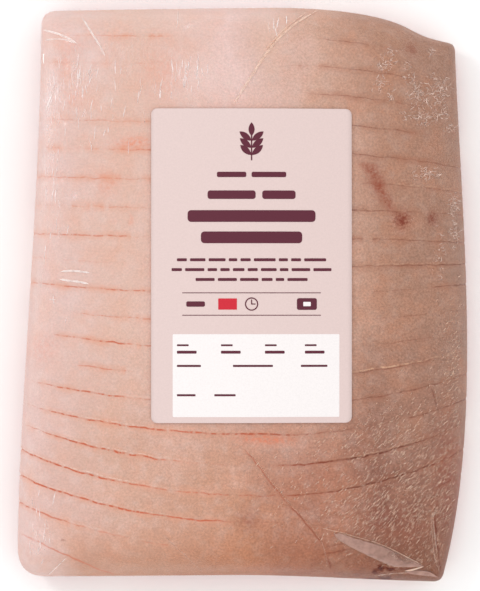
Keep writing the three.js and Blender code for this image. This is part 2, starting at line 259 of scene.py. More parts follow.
def pack_outline():
    """The outline as a ring of evenly spaced points, anticlockwise from the left side."""
    corners = (
        (FRONT_LEFT, LEFT_PULLS[0], FRONT_MIDDLE),
        (FRONT_RIGHT, FRONT_PULLS[1], RIGHT_PULLS[0]),
        (BACK_RIGHT, RIGHT_PULLS[1], BACK_PULLS[0]),
        (BACK_LEFT, BACK_CREST, LEFT_PULLS[1]),
    )
    (left_end, front_start), (front_end, right_start), (right_end, back_start), (back_end, left_start) = (
        [towards(corner, target, corner[2]) for target in targets] for corner, *targets in corners)
    curves = (
        (left_end, FRONT_LEFT[:2], front_start),
        (front_start, FRONT_MIDDLE),
        (FRONT_MIDDLE, *FRONT_PULLS, front_end),
        (front_end, FRONT_RIGHT[:2], right_start),
        (right_start, *RIGHT_PULLS, right_end),
        (right_end, BACK_RIGHT[:2], back_start),
        (back_start, BACK_PULLS[0], BACK_PULLS[0], BACK_SLOPE),
        (BACK_SLOPE, BACK_PULLS[1], BACK_PULLS[2], BACK_CREST),
        (BACK_CREST, back_end),
        (back_end, BACK_LEFT[:2], left_start),
        (left_start, LEFT_PULLS[1], LEFT_PULLS[0], left_end),
    )
    fine = np.vstack([bezier(curve, 200) for curve in curves] + [left_end])
    return evenly_spaced(fine, RING_POINTS, endpoint=False)


RING = pack_outline()


def corner_index(sign_x, sign_y):
    return int(np.argmax(RING[:, 0] * sign_x + RING[:, 1] * sign_y))


def ring_side(start, end):
    """The ring's points from one index to another, going anticlockwise."""
    count = (end - start) % RING_POINTS
    return RING[(start + np.arange(count + 1)) % RING_POINTS]


FRONT_SIDE = ring_side(corner_index(-1, -1), corner_index(1, -1))
RIGHT_SIDE = ring_side(corner_index(1, -1), corner_index(1, 1))
BACK_SIDE = ring_side(corner_index(1, 1), corner_index(-1, 1))[::-1]
LEFT_SIDE = ring_side(corner_index(-1, 1), corner_index(-1, -1))[::-1]


def along_side(side, shares):
    place = shares * (len(side) - 1)
    return np.stack([np.interp(place, np.arange(len(side)), side[:, axis]) for axis in (0, 1)], axis=-1)


def side_at_y(side, y):
    return np.array([np.interp(y, side[:, 1], side[:, 0]), y])


def depth_inside(x, y):
    """How far inside the outline each point is."""
    flat = np.stack([np.ravel(x), np.ravel(y)], axis=1)
    nearest = np.empty(len(flat))
    start = RING[::2]
    way = np.roll(start, -1, axis=0) - start
    length = (way ** 2).sum(axis=1)
    for first in range(0, len(flat), 4096):
        points = flat[first:first + 4096, None, :] - start[None]
        share = np.clip((points * way).sum(axis=2) / length, 0.0, 1.0)
        nearest[first:first + 4096] = ((points - share[..., None] * way) ** 2).sum(axis=2).min(axis=1)
    return np.sqrt(nearest).reshape(np.shape(x))


def crown_height(x, y):
    left = np.minimum(0.0, x - CREST_X) / SIDE_REACH
    right = np.maximum(0.0, x - CREST_X) / SIDE_REACH
    pulls = sum(
        np.exp(-((x - corner[0]) ** 2 + (y - corner[1]) ** 2) / (2 * CORNER_REACH ** 2))
        for corner in (BACK_RIGHT, FRONT_RIGHT)
    )
    (width, x_start), (length, y_start) = LUMP_WAVES
    lumps = np.sin(x / width + x_start) * np.sin(y / length + y_start)
    falls = LEFT_FALL * left ** 2 + RIGHT_FALL * right ** RIGHT_FALL_POWER + END_FALL * (y / END_REACH) ** 2
    return CROWN_HEIGHT - falls - CORNER_FALL * pulls + LUMP_HEIGHT * lumps


def top_height(x, y):
    """The height of the top with its rounded shoulder, without cuts."""
    shoulder = lerp(SHOULDER_LEFT, SHOULDER_RIGHT, smoothstep(x, 0.0, SIDE_REACH))
    out = np.maximum(0.0, 1.0 - depth_inside(x, y) / shoulder)
    crown = crown_height(x, y)
    low = WIDEST_SHARE * crown
    return low + (crown - low) * np.sqrt(np.maximum(0.0, 1.0 - out ** 2))


def cut_line(place, shares):
    """The points of a line that runs as the cuts do. `place` counts the cuts from the back."""
    left_y, middle_y, right_y = (
        np.interp(place, np.arange(len(CUT_LEVELS)), [level[i] for level in CUT_LEVELS]) for i in range(3))
    left = side_at_y(LEFT_SIDE, left_y)
    right = side_at_y(RIGHT_SIDE, right_y)
    x = lerp(left[0], right[0], shares)
    on_left = x < BOW_MIDDLE_X
    reach = np.where(on_left, left[0] - BOW_MIDDLE_X, right[0] - BOW_MIDDLE_X)
    bow = ((x - BOW_MIDDLE_X) / reach) ** np.where(on_left, BOW_POWER_LEFT, BOW_POWER_RIGHT)
    rise = np.where(on_left, left_y - middle_y, right_y - middle_y)
    return np.stack([x, middle_y + rise * bow], axis=-1)


def cut_place(x, y):
    """Where points lie among the cut lines, counted from the back."""
    levels = np.array(CUT_LEVELS)[..., None]
    left, right = (np.interp(y, side[:, 1], side[:, 0]) for side in (LEFT_SIDE, RIGHT_SIDE))
    on_left = x < BOW_MIDDLE_X
    reach = np.where(on_left, left - BOW_MIDDLE_X, right - BOW_MIDDLE_X)
    bow = np.clip((x - BOW_MIDDLE_X) / reach, 0.0, 1.0) ** np.where(on_left, BOW_POWER_LEFT, BOW_POWER_RIGHT)
    lines = levels[:, 1] + np.where(on_left, levels[:, 0] - levels[:, 1], levels[:, 2] - levels[:, 1]) * bow
    before = np.clip((lines > y).sum(axis=0) - 1, 0, len(lines) - 2)
    upper = np.take_along_axis(lines, before[None], axis=0)[0]
    lower = np.take_along_axis(lines, before[None] + 1, axis=0)[0]
    return before + (upper - y) / (upper - lower)


def swell(away, depth):
    """How far the rind swells between two cuts, from the distance to the nearest cut and to the outline."""
    between = np.clip(np.abs(away) / (CUT_PITCH / 2), 0.0, 1.0)
    return STRIP_SWELL * np.sin(between * math.pi / 2) * smoothstep(depth, 0.0, SWELL_START)


def shoulder_steps(count):
    """Steps from 0 to 1 across a rounded shoulder, closer together where it is steep."""
    return 1.0 - np.cos(np.arange(count) / count * math.pi / 2)


def column_shares(left_count, middle_count, right_count):
    width = BACK_RIGHT[0] - FRONT_LEFT[0]
    left_share, right_share = SHOULDER_LEFT / width, SHOULDER_RIGHT / width
    return np.concatenate([
        shoulder_steps(left_count) * left_share,
        np.linspace(left_share, 1.0 - right_share, middle_count + 1),
        (1.0 - shoulder_steps(right_count) * right_share)[::-1],
    ])


def end_rows(edge_side, place, shares, count):
    """Rows from an end of the pack to the nearest cut line, closest together at the rounded shoulder."""
    edge = along_side(edge_side, shares)
    line = cut_line(place, shares)
    rows = []
    for step in shoulder_steps(count):
        row = lerp(edge, line, step)
        left = side_at_y(LEFT_SIDE, row[0, 1]) - row[0]
        right = side_at_y(RIGHT_SIDE, row[-1, 1]) - row[-1]
        rows.append(row + left * (1.0 - shares)[:, None] + right * shares[:, None])
    return rows


def top_grid(shares, offsets, front_count, back_count):
    """Rows of points over the top from front to back, with the nearest cut of each and its distance."""
    places = [cut - offset / CUT_PITCH for cut in range(CUT_COUNT, 0, -1) for offset in offsets]
    places = np.array([place for place in places if place > 1 - 1.1 / CUT_PITCH])
    front = end_rows(FRONT_SIDE, places[0], shares, front_count)
    back = end_rows(BACK_SIDE, places[-1], shares, back_count)[::-1]
    rows = np.array(front + [cut_line(place, shares) for place in places] + back)
    row_places = np.concatenate([np.full(front_count, CUT_COUNT + 0.5), places, np.full(back_count, 0.5)])
    nearest = np.clip(np.round(row_places), 1, CUT_COUNT).astype(int)
    return rows, nearest, (nearest - row_places) * CUT_PITCH


def gape(rows, nearest):
    """How far the nearest cut gapes at each point, broken up into dashes."""
    gapes = [np.array(gapes).T for gapes in GAPES]
    opened = np.array([
        np.interp(row[:, 0], gapes[cut - 1][0], gapes[cut - 1][1] / 10) for row, cut in zip(rows, nearest)])
    along = rows[..., 0]
    cuts = nearest[:, None]
    dashes = ripple(along, cuts * 137.0, LONG_DASH, 5) + 0.7 * ripple(along, cuts * 71.0, SHORT_DASH, 8)
    return opened * smoothstep(dashes + 3.2 * opened, 0.25, 1.35)


def rim_of(rows, columns):
    """The indices round the edge of a grid, anticlockwise from the front left corner."""
    front = np.arange(columns)
    right = np.arange(1, rows) * columns + columns - 1
    back = (rows - 1) * columns + np.arange(columns - 2, -1, -1)
    left = np.arange(rows - 2, 0, -1) * columns
    return np.concatenate([front, right, back, left])


def grid_faces(rows, columns):
    first = (np.arange(rows - 1)[:, None] * columns + np.arange(columns - 1)).ravel()
    return np.stack([first, first + 1, first + columns + 1, first + columns], axis=1)


def ring_faces(upper, lower):
    """Faces between two rings that both run anticlockwise, facing out."""
    return np.stack([upper, lower, np.roll(lower, -1), np.roll(upper, -1)], axis=1)


def wall_ring(rim, turn):
    """The ring of the side wall at a share of its turn from the rim down to the base."""
    angle = turn * math.pi / 2
    inset = BASE_INSET * (1.0 - math.cos(angle) ** SIDE_POWER)
    return rim * (1.0 - inset / SIDE_REACH, 1.0 - inset / END_REACH, 1.0 - math.sin(angle) ** SIDE_POWER)


def closed_skin(top, turns):
    """A closed skin: a grid of top points, walls down to the base, and the base. Returns points, faces,
    and how high each point lies, from 1 on top to 0 on the base."""
    rows, columns = top.shape[:2]
    top = top.reshape(-1, 3)
    ring = rim_of(rows, columns)
    rings = [wall_ring(top[ring], turn) for turn in turns]
    foot = rings[-1]
    rings += [foot * (shrink, shrink, 1.0) for shrink in BASE_SHRINKS]
    ring_levels = [1.0 - turn for turn in turns] + [0.0] * len(BASE_SHRINKS)
    levels = np.concatenate([np.ones(len(top)), np.repeat(ring_levels, len(ring)), [0.0]])
    faces = [grid_faces(rows, columns)]
    for i in range(len(rings)):
        lower = len(top) + i * len(ring) + np.arange(len(ring))
        faces.append(ring_faces(ring, lower))
        ring = lower
    middle = np.full(len(ring), len(levels) - 1)
    fan = np.stack([ring, middle, np.roll(ring, -1)], axis=1)
    points = np.vstack([top, *rings, foot.mean(axis=0, keepdims=True)])
    return points, [tuple(face) for face in (*np.vstack(faces), *fan)], levels


# Meshes

def placed(name, data):
    """A new object in the scene."""
    made = bpy.data.objects.new(name, data)
    bpy.context.scene.collection.objects.link(made)
    return made


def new_piece(name, points, faces, material, smooth=True):
    """A mesh piece from points in millimetres. It rides with the pack, which is one body."""
    mesh = bpy.data.meshes.new(name)
    mesh.from_pydata([tuple(point) for point in np.asarray(points) * MM], [], faces)
    mesh.polygons.foreach_set("use_smooth", [smooth] * len(mesh.polygons))
    mesh.materials.append(material)
    mesh.update()
    piece = placed(name, mesh)
    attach(piece, "root")
    return piece


def push_in(piece, distances):
    """Moves each point inwards by millimetres, along its normal evened out with those beside it."""
    mesh = piece.data
    normals = np.empty(len(mesh.vertices) * 3)
    mesh.vertex_normals.foreach_get("vector", normals)
    normals = normals.reshape(-1, 3)
    ends = np.empty(len(mesh.edges) * 2, dtype=int)
    mesh.edges.foreach_get("vertices", ends)
    first, second = ends.reshape(-1, 2).T
    for _ in range(NORMAL_ROUNDS):
        total = normals.copy()
        np.add.at(total, first, normals[second])
        np.add.at(total, second, normals[first])
        normals = total / np.linalg.norm(total, axis=1, keepdims=True)
    places = np.empty(len(mesh.vertices) * 3)
    mesh.vertices.foreach_get("co", places)
    mesh.vertices.foreach_set("co", places - (normals * distances[:, None] * MM).ravel())
    mesh.update()


def write_weights(piece, name, *channels):
    """Stores up to four weights a point, for the piece's material to read."""
    mesh = piece.data
    values = np.ones((len(mesh.vertices), 4))
    for i, channel in enumerate(channels):
        values[:, i] = channel
    mesh.attributes.new(name, "FLOAT_COLOR", "POINT").data.foreach_set("color", values.ravel())


def spot(x, y, centre_x, centre_y, half_width, half_length, turn=0.0):
    """A soft oval spot, 1 in its middle."""
    angle = math.radians(turn)
    across, along = x - centre_x, y - centre_y
    u = across * math.cos(angle) + along * math.sin(angle)
    v = along * math.cos(angle) - across * math.sin(angle)
    return np.exp(-((u / half_width) ** 2 + (v / half_length) ** 2))


def spots(x, y, table):
    """The strongest soft spot at each point. A row is a strength, a centre, two half widths and a turn."""
    total = np.zeros(np.shape(x))
    for strength, *place in table:
        total = np.maximum(total, strength * spot(x, y, *place))
    return total


# Materials

# The rind's colours across it, and the sizes and colours of its blotches at the left and right edge
# The darkening to the right is partly the rind's own tan and partly painted shade of the slope that falls
# away from the light
RIND_STOPS = (("edge", 0.0), ("left", 0.25), ("middle", 0.5), ("tan", 0.64), ("right", 0.8))
RIND_BLOTCHES = (
    (11.0, (226, 168, 141), (188, 124, 92)),
    (4.5, (230, 207, 203), (180, 148, 132)),
)
# The pack's half width and half length, in metres
PACK_REACH = (("X", 0.086), ("Y", 0.11))
FILM_IOR = 1.28
# The largest share of light that the film throws back, at a grazing angle
MOST_SHINE = 0.08
# Where the film's haze and painted glints turn from milky to tan, as shares of the way across
HAZE_AND_GLINT_TURN = (0.35, 0.55)


def screen(red, green, blue):
    """A colour as it looks on screen, 0 to 255, as the light that Blender works in."""
    parts = [part / 255.0 for part in (red, green, blue)]
    return tuple(part / 12.92 if part <= 0.04045 else ((part + 0.055) / 1.055) ** 2.4 for part in parts)


class Value:
    """What a shader node gives out, for sums with other values and with plain numbers."""

    def __init__(self, socket):
        self.socket = socket
        self.tree = socket.id_data

    def sum(self, operation, *numbers, clamp=False):
        return add(self.tree, "Math", dict(enumerate(numbers)), operation=operation, use_clamp=clamp)

    def __add__(self, other):
        return self.sum("ADD", self, other)

    def __sub__(self, other):
        return self.sum("SUBTRACT", self, other)

    def __rsub__(self, other):
        return self.sum("SUBTRACT", other, self)

    def __mul__(self, other):
        return self.sum("MULTIPLY", self, other)

    def __abs__(self):
        return self.sum("ABSOLUTE", self)

    def larger(self, other):
        return self.sum("MAXIMUM", self, other)

    def ranged(self, low, high, to_low=0.0, to_high=1.0):
        """This value, taken from one range to another and kept in it."""
        return add(self.tree, "MapRange", {"Value": self, "From Min": low, "From Max": high,
                                           "To Min": to_low, "To Max": to_high}, "Result")

    def mix(self, first, second):
        """The second colour laid over the first by this share."""
        return laid(self.tree, self, first, second, "MIX")

    def tint(self, other):
        """This colour multiplied by another."""
        return laid(self.tree, 1.0, self, other, "MULTIPLY")


def node(tree, kind, inputs=None, **settings):
    """A shader node, with its settings and what its inputs hold or are linked to."""
    made = tree.nodes.new("ShaderNode" + kind)
    for key, value in settings.items():
        setattr(made, key, value)
    for key, value in (inputs or {}).items():
        if isinstance(value, Value):
            tree.links.new(value.socket, made.inputs[key])
        else:
            made.inputs[key].default_value = value
    return made


def add(tree, kind, inputs=None, output=0, **settings):
    """What a new shader node gives out."""
    return Value(node(tree, kind, inputs, **settings).outputs[output])


def laid(tree, share, first, second, blend):
    inputs = {0: share}
    for index, colour in ((6, first), (7, second)):
        inputs[index] = colour if isinstance(colour, Value) else (*colour, 1.0)
    return add(tree, "Mix", inputs, 2, data_type="RGBA", blend_type=blend, clamp_factor=True)


def new_material(name, shade, *details):
    """A material whose shader a function makes from its node tree."""
    material = bpy.data.materials.new(name)
    material.use_nodes = True
    tree = material.node_tree
    tree.nodes.clear()
    node(tree, "OutputMaterial", {"Surface": shade(tree, *details)})
    return material


def own_place(tree):
    return add(tree, "TexCoord", output="Object")


def ramp(value, stops):
    """A run of colours, each a place from 0 to 1 and a colour."""
    made = node(value.tree, "ValToRGB", {"Fac": value})
    elements = made.color_ramp.elements
    while len(elements) < len(stops):
        elements.new(0.5)
    for element, (place, colour) in zip(elements, stops):
        element.position = place
        element.color = (*colour, 1.0)
    return Value(made.outputs["Color"])


def grain(tree, size, detail=2.0, stretch=(1.0, 1.0, 1.0), roughness=0.5):
    """Noise about `size` millimetres across, in the pack's own frame."""
    stretched = add(tree, "Mapping", {"Vector": own_place(tree), "Scale": stretch})
    return add(tree, "TexNoise", {"Vector": stretched, "Scale": 1.0 / (size * MM), "Detail": detail,
                                  "Roughness": roughness}, "Fac")


def wobble(tree, size, reach, detail=2.0):
    """Noise that strays about `reach` either way from nothing."""
    return grain(tree, size, detail).ranged(0.3, 0.7, -reach, reach)


def weights(tree, name):
    """The stored weights of a piece, one output a channel."""
    stored = node(tree, "Attribute", attribute_name=name).outputs
    parts = node(tree, "SeparateColor", {"Color": Value(stored["Color"])}).outputs
    return [Value(part) for part in (*parts, stored["Alpha"])]


def place_shares(tree):
    """Where a point lies across and along the pack, from 0 to 1."""
    parts = node(tree, "SeparateXYZ", {"Vector": own_place(tree)}).outputs
    return [Value(parts[axis]).ranged(-reach, reach) for axis, reach in PACK_REACH]


def bumps(tree, height, strength, distance):
    return add(tree, "Bump", {"Height": height, "Strength": strength, "Distance": distance * MM})


def rind_row(value, settings, row):
    """The rind's colours from left to right, towards the back or the front."""
    stops = [(place, getattr(settings, row + "_" + name)) for name, place in RIND_STOPS]
    return ramp(value, stops + [(1.0, settings.right_edge)])


def rind_colour(tree, settings):
    """Pale pink at the left and tan at the right, browner towards the front; the tan is partly painted shade
    of the right slope.
    """
    across, along = place_shares(tree)
    drift = across + wobble(tree, 30.0, 0.05)
    forward = along + wobble(tree, 22.0, 0.05)
    colour = forward.ranged(0.46, 0.16).mix(*(rind_row(drift, settings, row) for row in ("back", "front")))
    for size, left, right in RIND_BLOTCHES:
        share = grain(tree, size, 4.0).ranged(0.46, 0.74) * 0.3
        colour = share.mix(colour, across.mix(screen(*left), screen(*right)))
    hem = along.ranged(0.12, 0.02) * across.ranged(0.09, 0.15)
    colour = hem.mix(colour, colour.tint(screen(232, 209, 188)))
    corner = across.ranged(0.72, 0.88) * forward.ranged(0.22, 0.08, 0.0, 0.7)
    colour = corner.mix(colour, screen(130, 85, 67))
    # Painted shade along the rim, darker at the right
    rim = across.mix(screen(252, 248, 247), screen(241, 230, 223))
    colour = weights(tree, "stains_and_shade")[3].mix(colour, colour.tint(rim))
    coarse = (across - along * 0.4).ranged(0.0, 0.8, 0.08, 0.26)
    fine = grain(tree, 0.8, 4.0, roughness=0.75).ranged(0.3, 0.7, -1.3, 1.3)
    shade = fine * coarse + 1.0
    return colour.tint(grey(shade)), across


def grey(value):
    return add(value.tree, "CombineColor", {0: value, 1: value, 2: value})


def scratch(tree, start, end, half_width):
    """How much a point lies on a thin straight line between two places, in millimetres."""
    way = np.subtract(end, start)
    length = float(np.hypot(*way))
    along, across = way / length, np.array([-way[1], way[0]]) / length
    place = own_place(tree)
    run, off = (
        add(tree, "VectorMath", {0: place, 1: (*(axis / MM), 0.0)}, "Value", operation="DOT_PRODUCT")
        - float(np.dot(start, axis)) for axis in (along, across))
    share = abs(off + wobble(tree, 6.0, 0.5, 3.0)).ranged(0.1, half_width, 1.0, 0.0)
    return share * run.ranged(0.0, 3.0) * run.ranged(length, length - 3.0)


def oval(tree, centre_x, centre_y, half_width, half_length, turn, ragged, size):
    """How far a point lies from the middle of an oval, 1 on its rim, made ragged by grain."""
    local = add(tree, "Mapping", {
        "Vector": own_place(tree), "Location": (centre_x * MM, centre_y * MM, 0.0),
        "Rotation": (0.0, 0.0, math.radians(turn)), "Scale": (half_width * MM, half_length * MM, 1.0),
    }, vector_type="TEXTURE")
    away = add(tree, "VectorMath", {0: local}, "Value", operation="LENGTH")
    return away + wobble(tree, size, ragged, 4.0)


def cut_marks(tree, colour, across, settings):
    """The cuts as thin broken lines, each in a soft halo, a little off the groove here and there. The lines
    are the cuts' own colour with painted shade of their grooves, and a light line on some lips is a painted
    highlight.
    """
    sine, cosine, opened, lip = weights(tree, "cut")
    away = sine.sum("ARCTAN2", sine, cosine) * (CUT_PITCH / (2 * math.pi)) + wobble(tree, 5.0, 0.35, 3.0)
    to_right = across.ranged(0.4, 0.75)
    halo = abs(away).ranged(0.2, 2.4, 1.0, 0.0) * grain(tree, 7.0).ranged(0.35, 0.65, 0.1, 0.8)
    halo = halo * weights(tree, "stains_and_shade")[2].ranged(0.05, 0.6, 0.0, 0.7)
    colour = halo.mix(colour, to_right.mix(settings.halo_left, settings.halo_right))
    # A painted highlight along the lip of a cut
    lip_highlight = abs(away - 0.75).ranged(0.15, 0.4, 1.0, 0.0) * lip * grain(tree, 1.2).ranged(0.4, 0.6)
    colour = lip_highlight.mix(colour, to_right.mix(screen(232, 206, 192), screen(206, 164, 136)))
    # The cut line: the cut's colour with painted shade of its groove, darkest at the right
    line = abs(away).ranged(0.05, opened.ranged(0.1, 1.0, 0.26, 0.5), 1.0, 0.0)
    dashes = grain(tree, 2.2, stretch=(1.0, 0.3, 1.0)).ranged(0.4, 0.54, 0.15, 1.15).larger(to_right * 0.6)
    line = line.sum("MULTIPLY", line * dashes, opened, clamp=True)
    for strength, start, end, half_width in SCRATCHES:
        line = line.larger(scratch(tree, start, end, half_width) * strength)
    return line.mix(colour, to_right.mix(settings.cut_left, settings.cut_right))


def stain_colour(tree, colour):
    """Blood and painted shade in the rind, warm marks, the bruise, spots of blood and drips of juice."""
    blood, warm, _, _ = weights(tree, "stains_and_shade")
    speckle = grain(tree, 1.3, 4.0)
    # The first weight holds blood and painted shade, both laid on as this brown
    colour = (blood * speckle.ranged(0.35, 0.6, 0.35, 1.0)).mix(colour, screen(134, 62, 44))
    colour = (warm * speckle.ranged(0.35, 0.65, 0.2, 1.0)).mix(colour, screen(222, 124, 88))
    for strength, *place in BRUISES:
        line = scratch(tree, *place) * grain(tree, 0.9, 3.0).ranged(0.35, 0.62, 0.25, strength)
        colour = line.mix(colour, screen(142, 66, 44))
    for strength, *place in BLOOD_SPOTS:
        share = oval(tree, *place, 0.75, 0.9).ranged(0.0, 1.2, strength, 0.0)
        colour = share.mix(colour, screen(122, 50, 32))
    for place in DRIPS:
        away = oval(tree, *place, 0.5, 1.8)
        thick = away.ranged(0.3, 0.9).mix(screen(80, 22, 2), screen(110, 42, 7))
        colour = away.ranged(1.05, 0.9).mix(colour, thick)
    return colour


def meat_layers(tree, colour, settings):
    """The rind's edge, the fat under it and the lean meat, by height down the sides."""
    turned = 1.0 - add(tree, "Attribute", output="Fac", attribute_name="level")
    wavy = turned + wobble(tree, 14.0, 0.04, 3.0)
    fat = grain(tree, 3.0, 4.0).ranged(0.35, 0.7).mix(settings.fat, screen(240, 196, 176))
    fibre = grain(tree, 2.2, 5.0, stretch=(0.25, 0.6, 1.0)).ranged(0.4, 0.7)
    seams = grain(tree, 20.0, 5.0, stretch=(0.5, 1.0, 1.4)).ranged(0.56, 0.62) * 0.8
    lean = seams.mix(fibre.mix(settings.lean, screen(206, 116, 104)), settings.fat)
    meat = wavy.ranged(FAT_EDGE - 0.02, FAT_EDGE + 0.02).mix(fat, lean)
    return turned.ranged(RIND_EDGE - 0.01, RIND_EDGE + 0.005).mix(colour, meat)


def roast_shader(tree, settings):
    colour, across = rind_colour(tree, settings)
    colour = stain_colour(tree, cut_marks(tree, colour, across, settings))
    return add(tree, "BsdfPrincipled", {
        "Base Color": meat_layers(tree, colour, settings), "Roughness": 0.5, "IOR": 1.4,
        "Specular IOR Level": 0.08, "Subsurface Weight": 0.12, "Subsurface Radius": (1.0, 0.4, 0.3),
        "Subsurface Scale": 0.003, "Normal": bumps(tree, grain(tree, 1.4, 3.0), 0.3, 0.2)})


def clear_film(tree, haze_and_glint, height, roughness, bump_distance, left, right, least_shine=0.0):
    """Film that lets light straight through, shines by its angle, and whitens where it is milky and where
    white glints and highlights are painted on it.
    """
    bump = bumps(tree, height, 1.0, bump_distance)
    across = place_shares(tree)[0]
    white = across.ranged(*HAZE_AND_GLINT_TURN).mix(left, right)
    outside = 1.0 - add(tree, "NewGeometry", output="Backfacing")
    shine = add(tree, "Fresnel", {"IOR": FILM_IOR, "Normal": bump})
    shine = shine.sum("MINIMUM", shine, MOST_SHINE).larger(least_shine) * outside
    clear = add(tree, "BsdfTransparent", {"Color": (0.99, 0.985, 0.98, 1.0)})
    diffuse, translucent = (add(tree, "Bsdf" + kind, {"Color": white}) for kind in ("Diffuse", "Translucent"))
    gloss = add(tree, "BsdfGlossy", {"Color": (1.0, 1.0, 1.0, 1.0), "Roughness": roughness, "Normal": bump})
    hazy_and_glinting = add(tree, "MixShader", {0: across.ranged(*HAZE_AND_GLINT_TURN, 0.5, 0.0), 1: diffuse, 2: translucent})
    body = add(tree, "MixShader", {0: haze_and_glint * outside, 1: clear, 2: hazy_and_glinting})
    return add(tree, "MixShader", {0: shine, 1: body, 2: gloss})


def film_shader(tree, settings):
    # Painted white glints on the upright wrinkles, blotches of painted highlight and veils of painted sheen
    upright, highlight_blotch, painted_sheen, _ = weights(tree, "wrinkles")
    lines = grain(tree, 1.0, 3.0, stretch=(1.0, 0.16, 0.3))
    haze_and_glint = upright * lines.ranged(0.46, 0.66, 0.0, 0.9)
    haze_and_glint = haze_and_glint.larger(highlight_blotch * grain(tree, 1.3, 4.0).ranged(0.42, 0.62, 0.3, 1.0))
    haze_and_glint = haze_and_glint.larger(painted_sheen * grain(tree, 4.0, 5.0).ranged(0.35, 0.65, 0.4, 1.0))
    haze_and_glint = haze_and_glint.sum("MULTIPLY", haze_and_glint, settings.haze_and_glint, clamp=True)
    wrinkle = upright * lines + grain(tree, 5.0, 3.0) * 0.8
    # The colours of the painted highlights, white at the left and tan at the right
    left, right = screen(250, 240, 242), screen(236, 206, 184)
    return clear_film(tree, haze_and_glint, wrinkle, settings.roughness, 0.16, left, right)


def fold_shader(tree, roughness, uneven, patch_size, left, right, sheen):
    """The film of folds, creases and lenses, which is doubled up and so shows more, and whose whitening also
    paints white glints on the folds and creases.
    """
    patches = grain(tree, patch_size)
    haze_and_glint = weights(tree, "film")[0] * patches.ranged(0.35, 0.65, 1.0 - uneven, 1.0 + uneven)
    return clear_film(tree, haze_and_glint, patches, roughness, 0.06, screen(*left), screen(*right), haze_and_glint * sheen)


def print_shader(tree, colour):
    fibres = grain(tree, 0.6, 4.0).ranged(0.3, 0.7, 0.97, 1.03)
    return add(tree, "BsdfPrincipled", {
        "Base Color": laid(tree, 1.0, colour, grey(fibres), "MULTIPLY"), "Roughness": 0.5, "IOR": 1.45,
        "Specular IOR Level": 0.4, "Normal": bumps(tree, grain(tree, 0.8, 3.0), 0.15, 0.05)})


# Pieces

# Each skin's rows beside a cut, as distances from it, its rings down the sides, as shares of their turn, and
# its counts of columns and end rows
ROAST_OFFSETS = (-0.9, -0.45, 0.0, 0.45, 0.9, 2.0, 3.6, 5.4, 7.2, 8.8)
ROAST_TURNS = (
    0.02, 0.04, 0.055, 0.07, 0.085, 0.105, 0.14, 0.18, 0.21, 0.235, 0.26, 0.29, 0.34, 0.41, 0.5, 0.6, 0.7,
    0.8, 0.88, 0.94, 1.0,
)
ROAST_COLUMNS = (12, 150, 16)
ROAST_END_ROWS = (18, 16)
FILM_OFFSETS = (-1.2, 0.0, 1.2, 3.9, 6.9)
FILM_COLUMNS = (8, 60, 11)
FILM_END_ROWS = (12, 10)
FILM_TURNS = (0.06, 0.13, 0.21, 0.3, 0.4, 0.5, 0.6, 0.7, 0.8, 0.88, 0.95, 1.0)

# Marks in the rind, each with its strength, centre, half widths and turn
# Blood in the rind, and painted shade: the wide marks at the lower right edge and in front of the label
# darken it where shade falls
BLOOD_AND_SHADE_MARKS = (
    (0.55, 60.2, 28.3, 3.8, 4.2), (0.4, 72, 28.9, 2.8, 3.2), (0.2, 64.3, 93.4, 2.8, 4),
    (0.32, 50.6, 42, 4.4, 10.5, 20), (0.45, 2, -84.4, 5, 4), (0.4, 53.5, -84, 7, 6, 30),
    (0.5, 63, -92, 3.2, 2, 30), (0.7, 79, -68, 8, 24), (0.4, 63, -86, 10, 9), (0.2, 24, -69, 12, 10),
)
WARM_MARKS = (
    (0.7, -40.5, 57.2, 7.5, 2.2, 5), (0.7, -42, 28.2, 0.8, 1.2), (0.4, -48.5, 28.2, 1.2, 0.8),
    (0.75, 9, -54.2, 10, 1.8, -4), (0.35, -26, 12, 9, 5), (0.3, -75, -20, 6, 5), (0.25, -30, 84, 8, 9),
    (0.35, -51, 42, 4, 5), (0.3, -66.5, 88, 2.5, 7), (0.35, -65, 94.6, 5, 2.6), (0.25, -63, 74, 4, 4),
)
# Small spots of blood, a thin bruise and drips of juice, drawn finer than the mesh
BLOOD_SPOTS = (
    (0.9, 60, 28.2, 2.8, 2.9, 0), (0.65, 71.6, 28.9, 1.9, 2.3, 0), (0.35, 64.3, 93.4, 1.8, 2.6, 20),
    (0.5, -67.6, -92, 1, 0.6, 0), (0.6, 59.2, -100.4, 0.5, 0.5, 0),
)
BRUISES = (
    (0.45, (42.6, 50.6), (49.4, 47.4), 2), (0.8, (47.6, 50.4), (52, 38.6), 3.6),
    (0.8, (50, 43.6), (57, 30.6), 2.8),
)
DRIPS = (
    (51.9, -103.7, 2.2, 1.6, 35), (50.4, -105, 1.5, 0.9, 35), (56, -103.9, 1.9, 0.8, -20),
    (54.2, -107.7, 2.8, 0.9, -4), (49, -107.9, 3.2, 0.45, -4),
)
# Upright wrinkles whose whitening paints glints on them, then blotches of painted highlight and veils of
# painted sheen
UPRIGHT_WRINKLES_AND_GLINTS = (
    (0.9, -70.5, 77, 5, 13), (0.9, -62.5, 80, 6, 9), (0.8, -21.5, 82, 9, 9, -15), (0.3, -50, 90, 24, 12),
)
HIGHLIGHT_BLOTCHES = (
    (0.8, -72.6, 62.5, 3, 4.6), (0.7, -72.4, 52.6, 3.2, 2.6), (0.7, -63.6, 37, 3.4, 1.4, 30),
    (0.6, -69, 25.4, 3, 1, -25), (0.5, -21.6, 83.4, 2.4, 4.4), (0.9, 15.6, 99.2, 0.7, 3, -10),
    (0.8, -20.5, 101.2, 2.6, 0.9, 20), (0.5, -78, -88, 3, 6, 20),
)
SHEEN_VEILS = (
    (0.9, -73, 74, 2.6, 14), (0.5, -66, 98, 8, 3, -10), (0.5, -56, 88, 5, 5), (0.8, -77.5, -92, 5, 9),
    (0.5, -73, 40, 3, 12), (0.5, -60.5, 78, 4, 8), (0.4, -20, 84, 8, 8), (0.3, 10, 96, 6, 12),
)
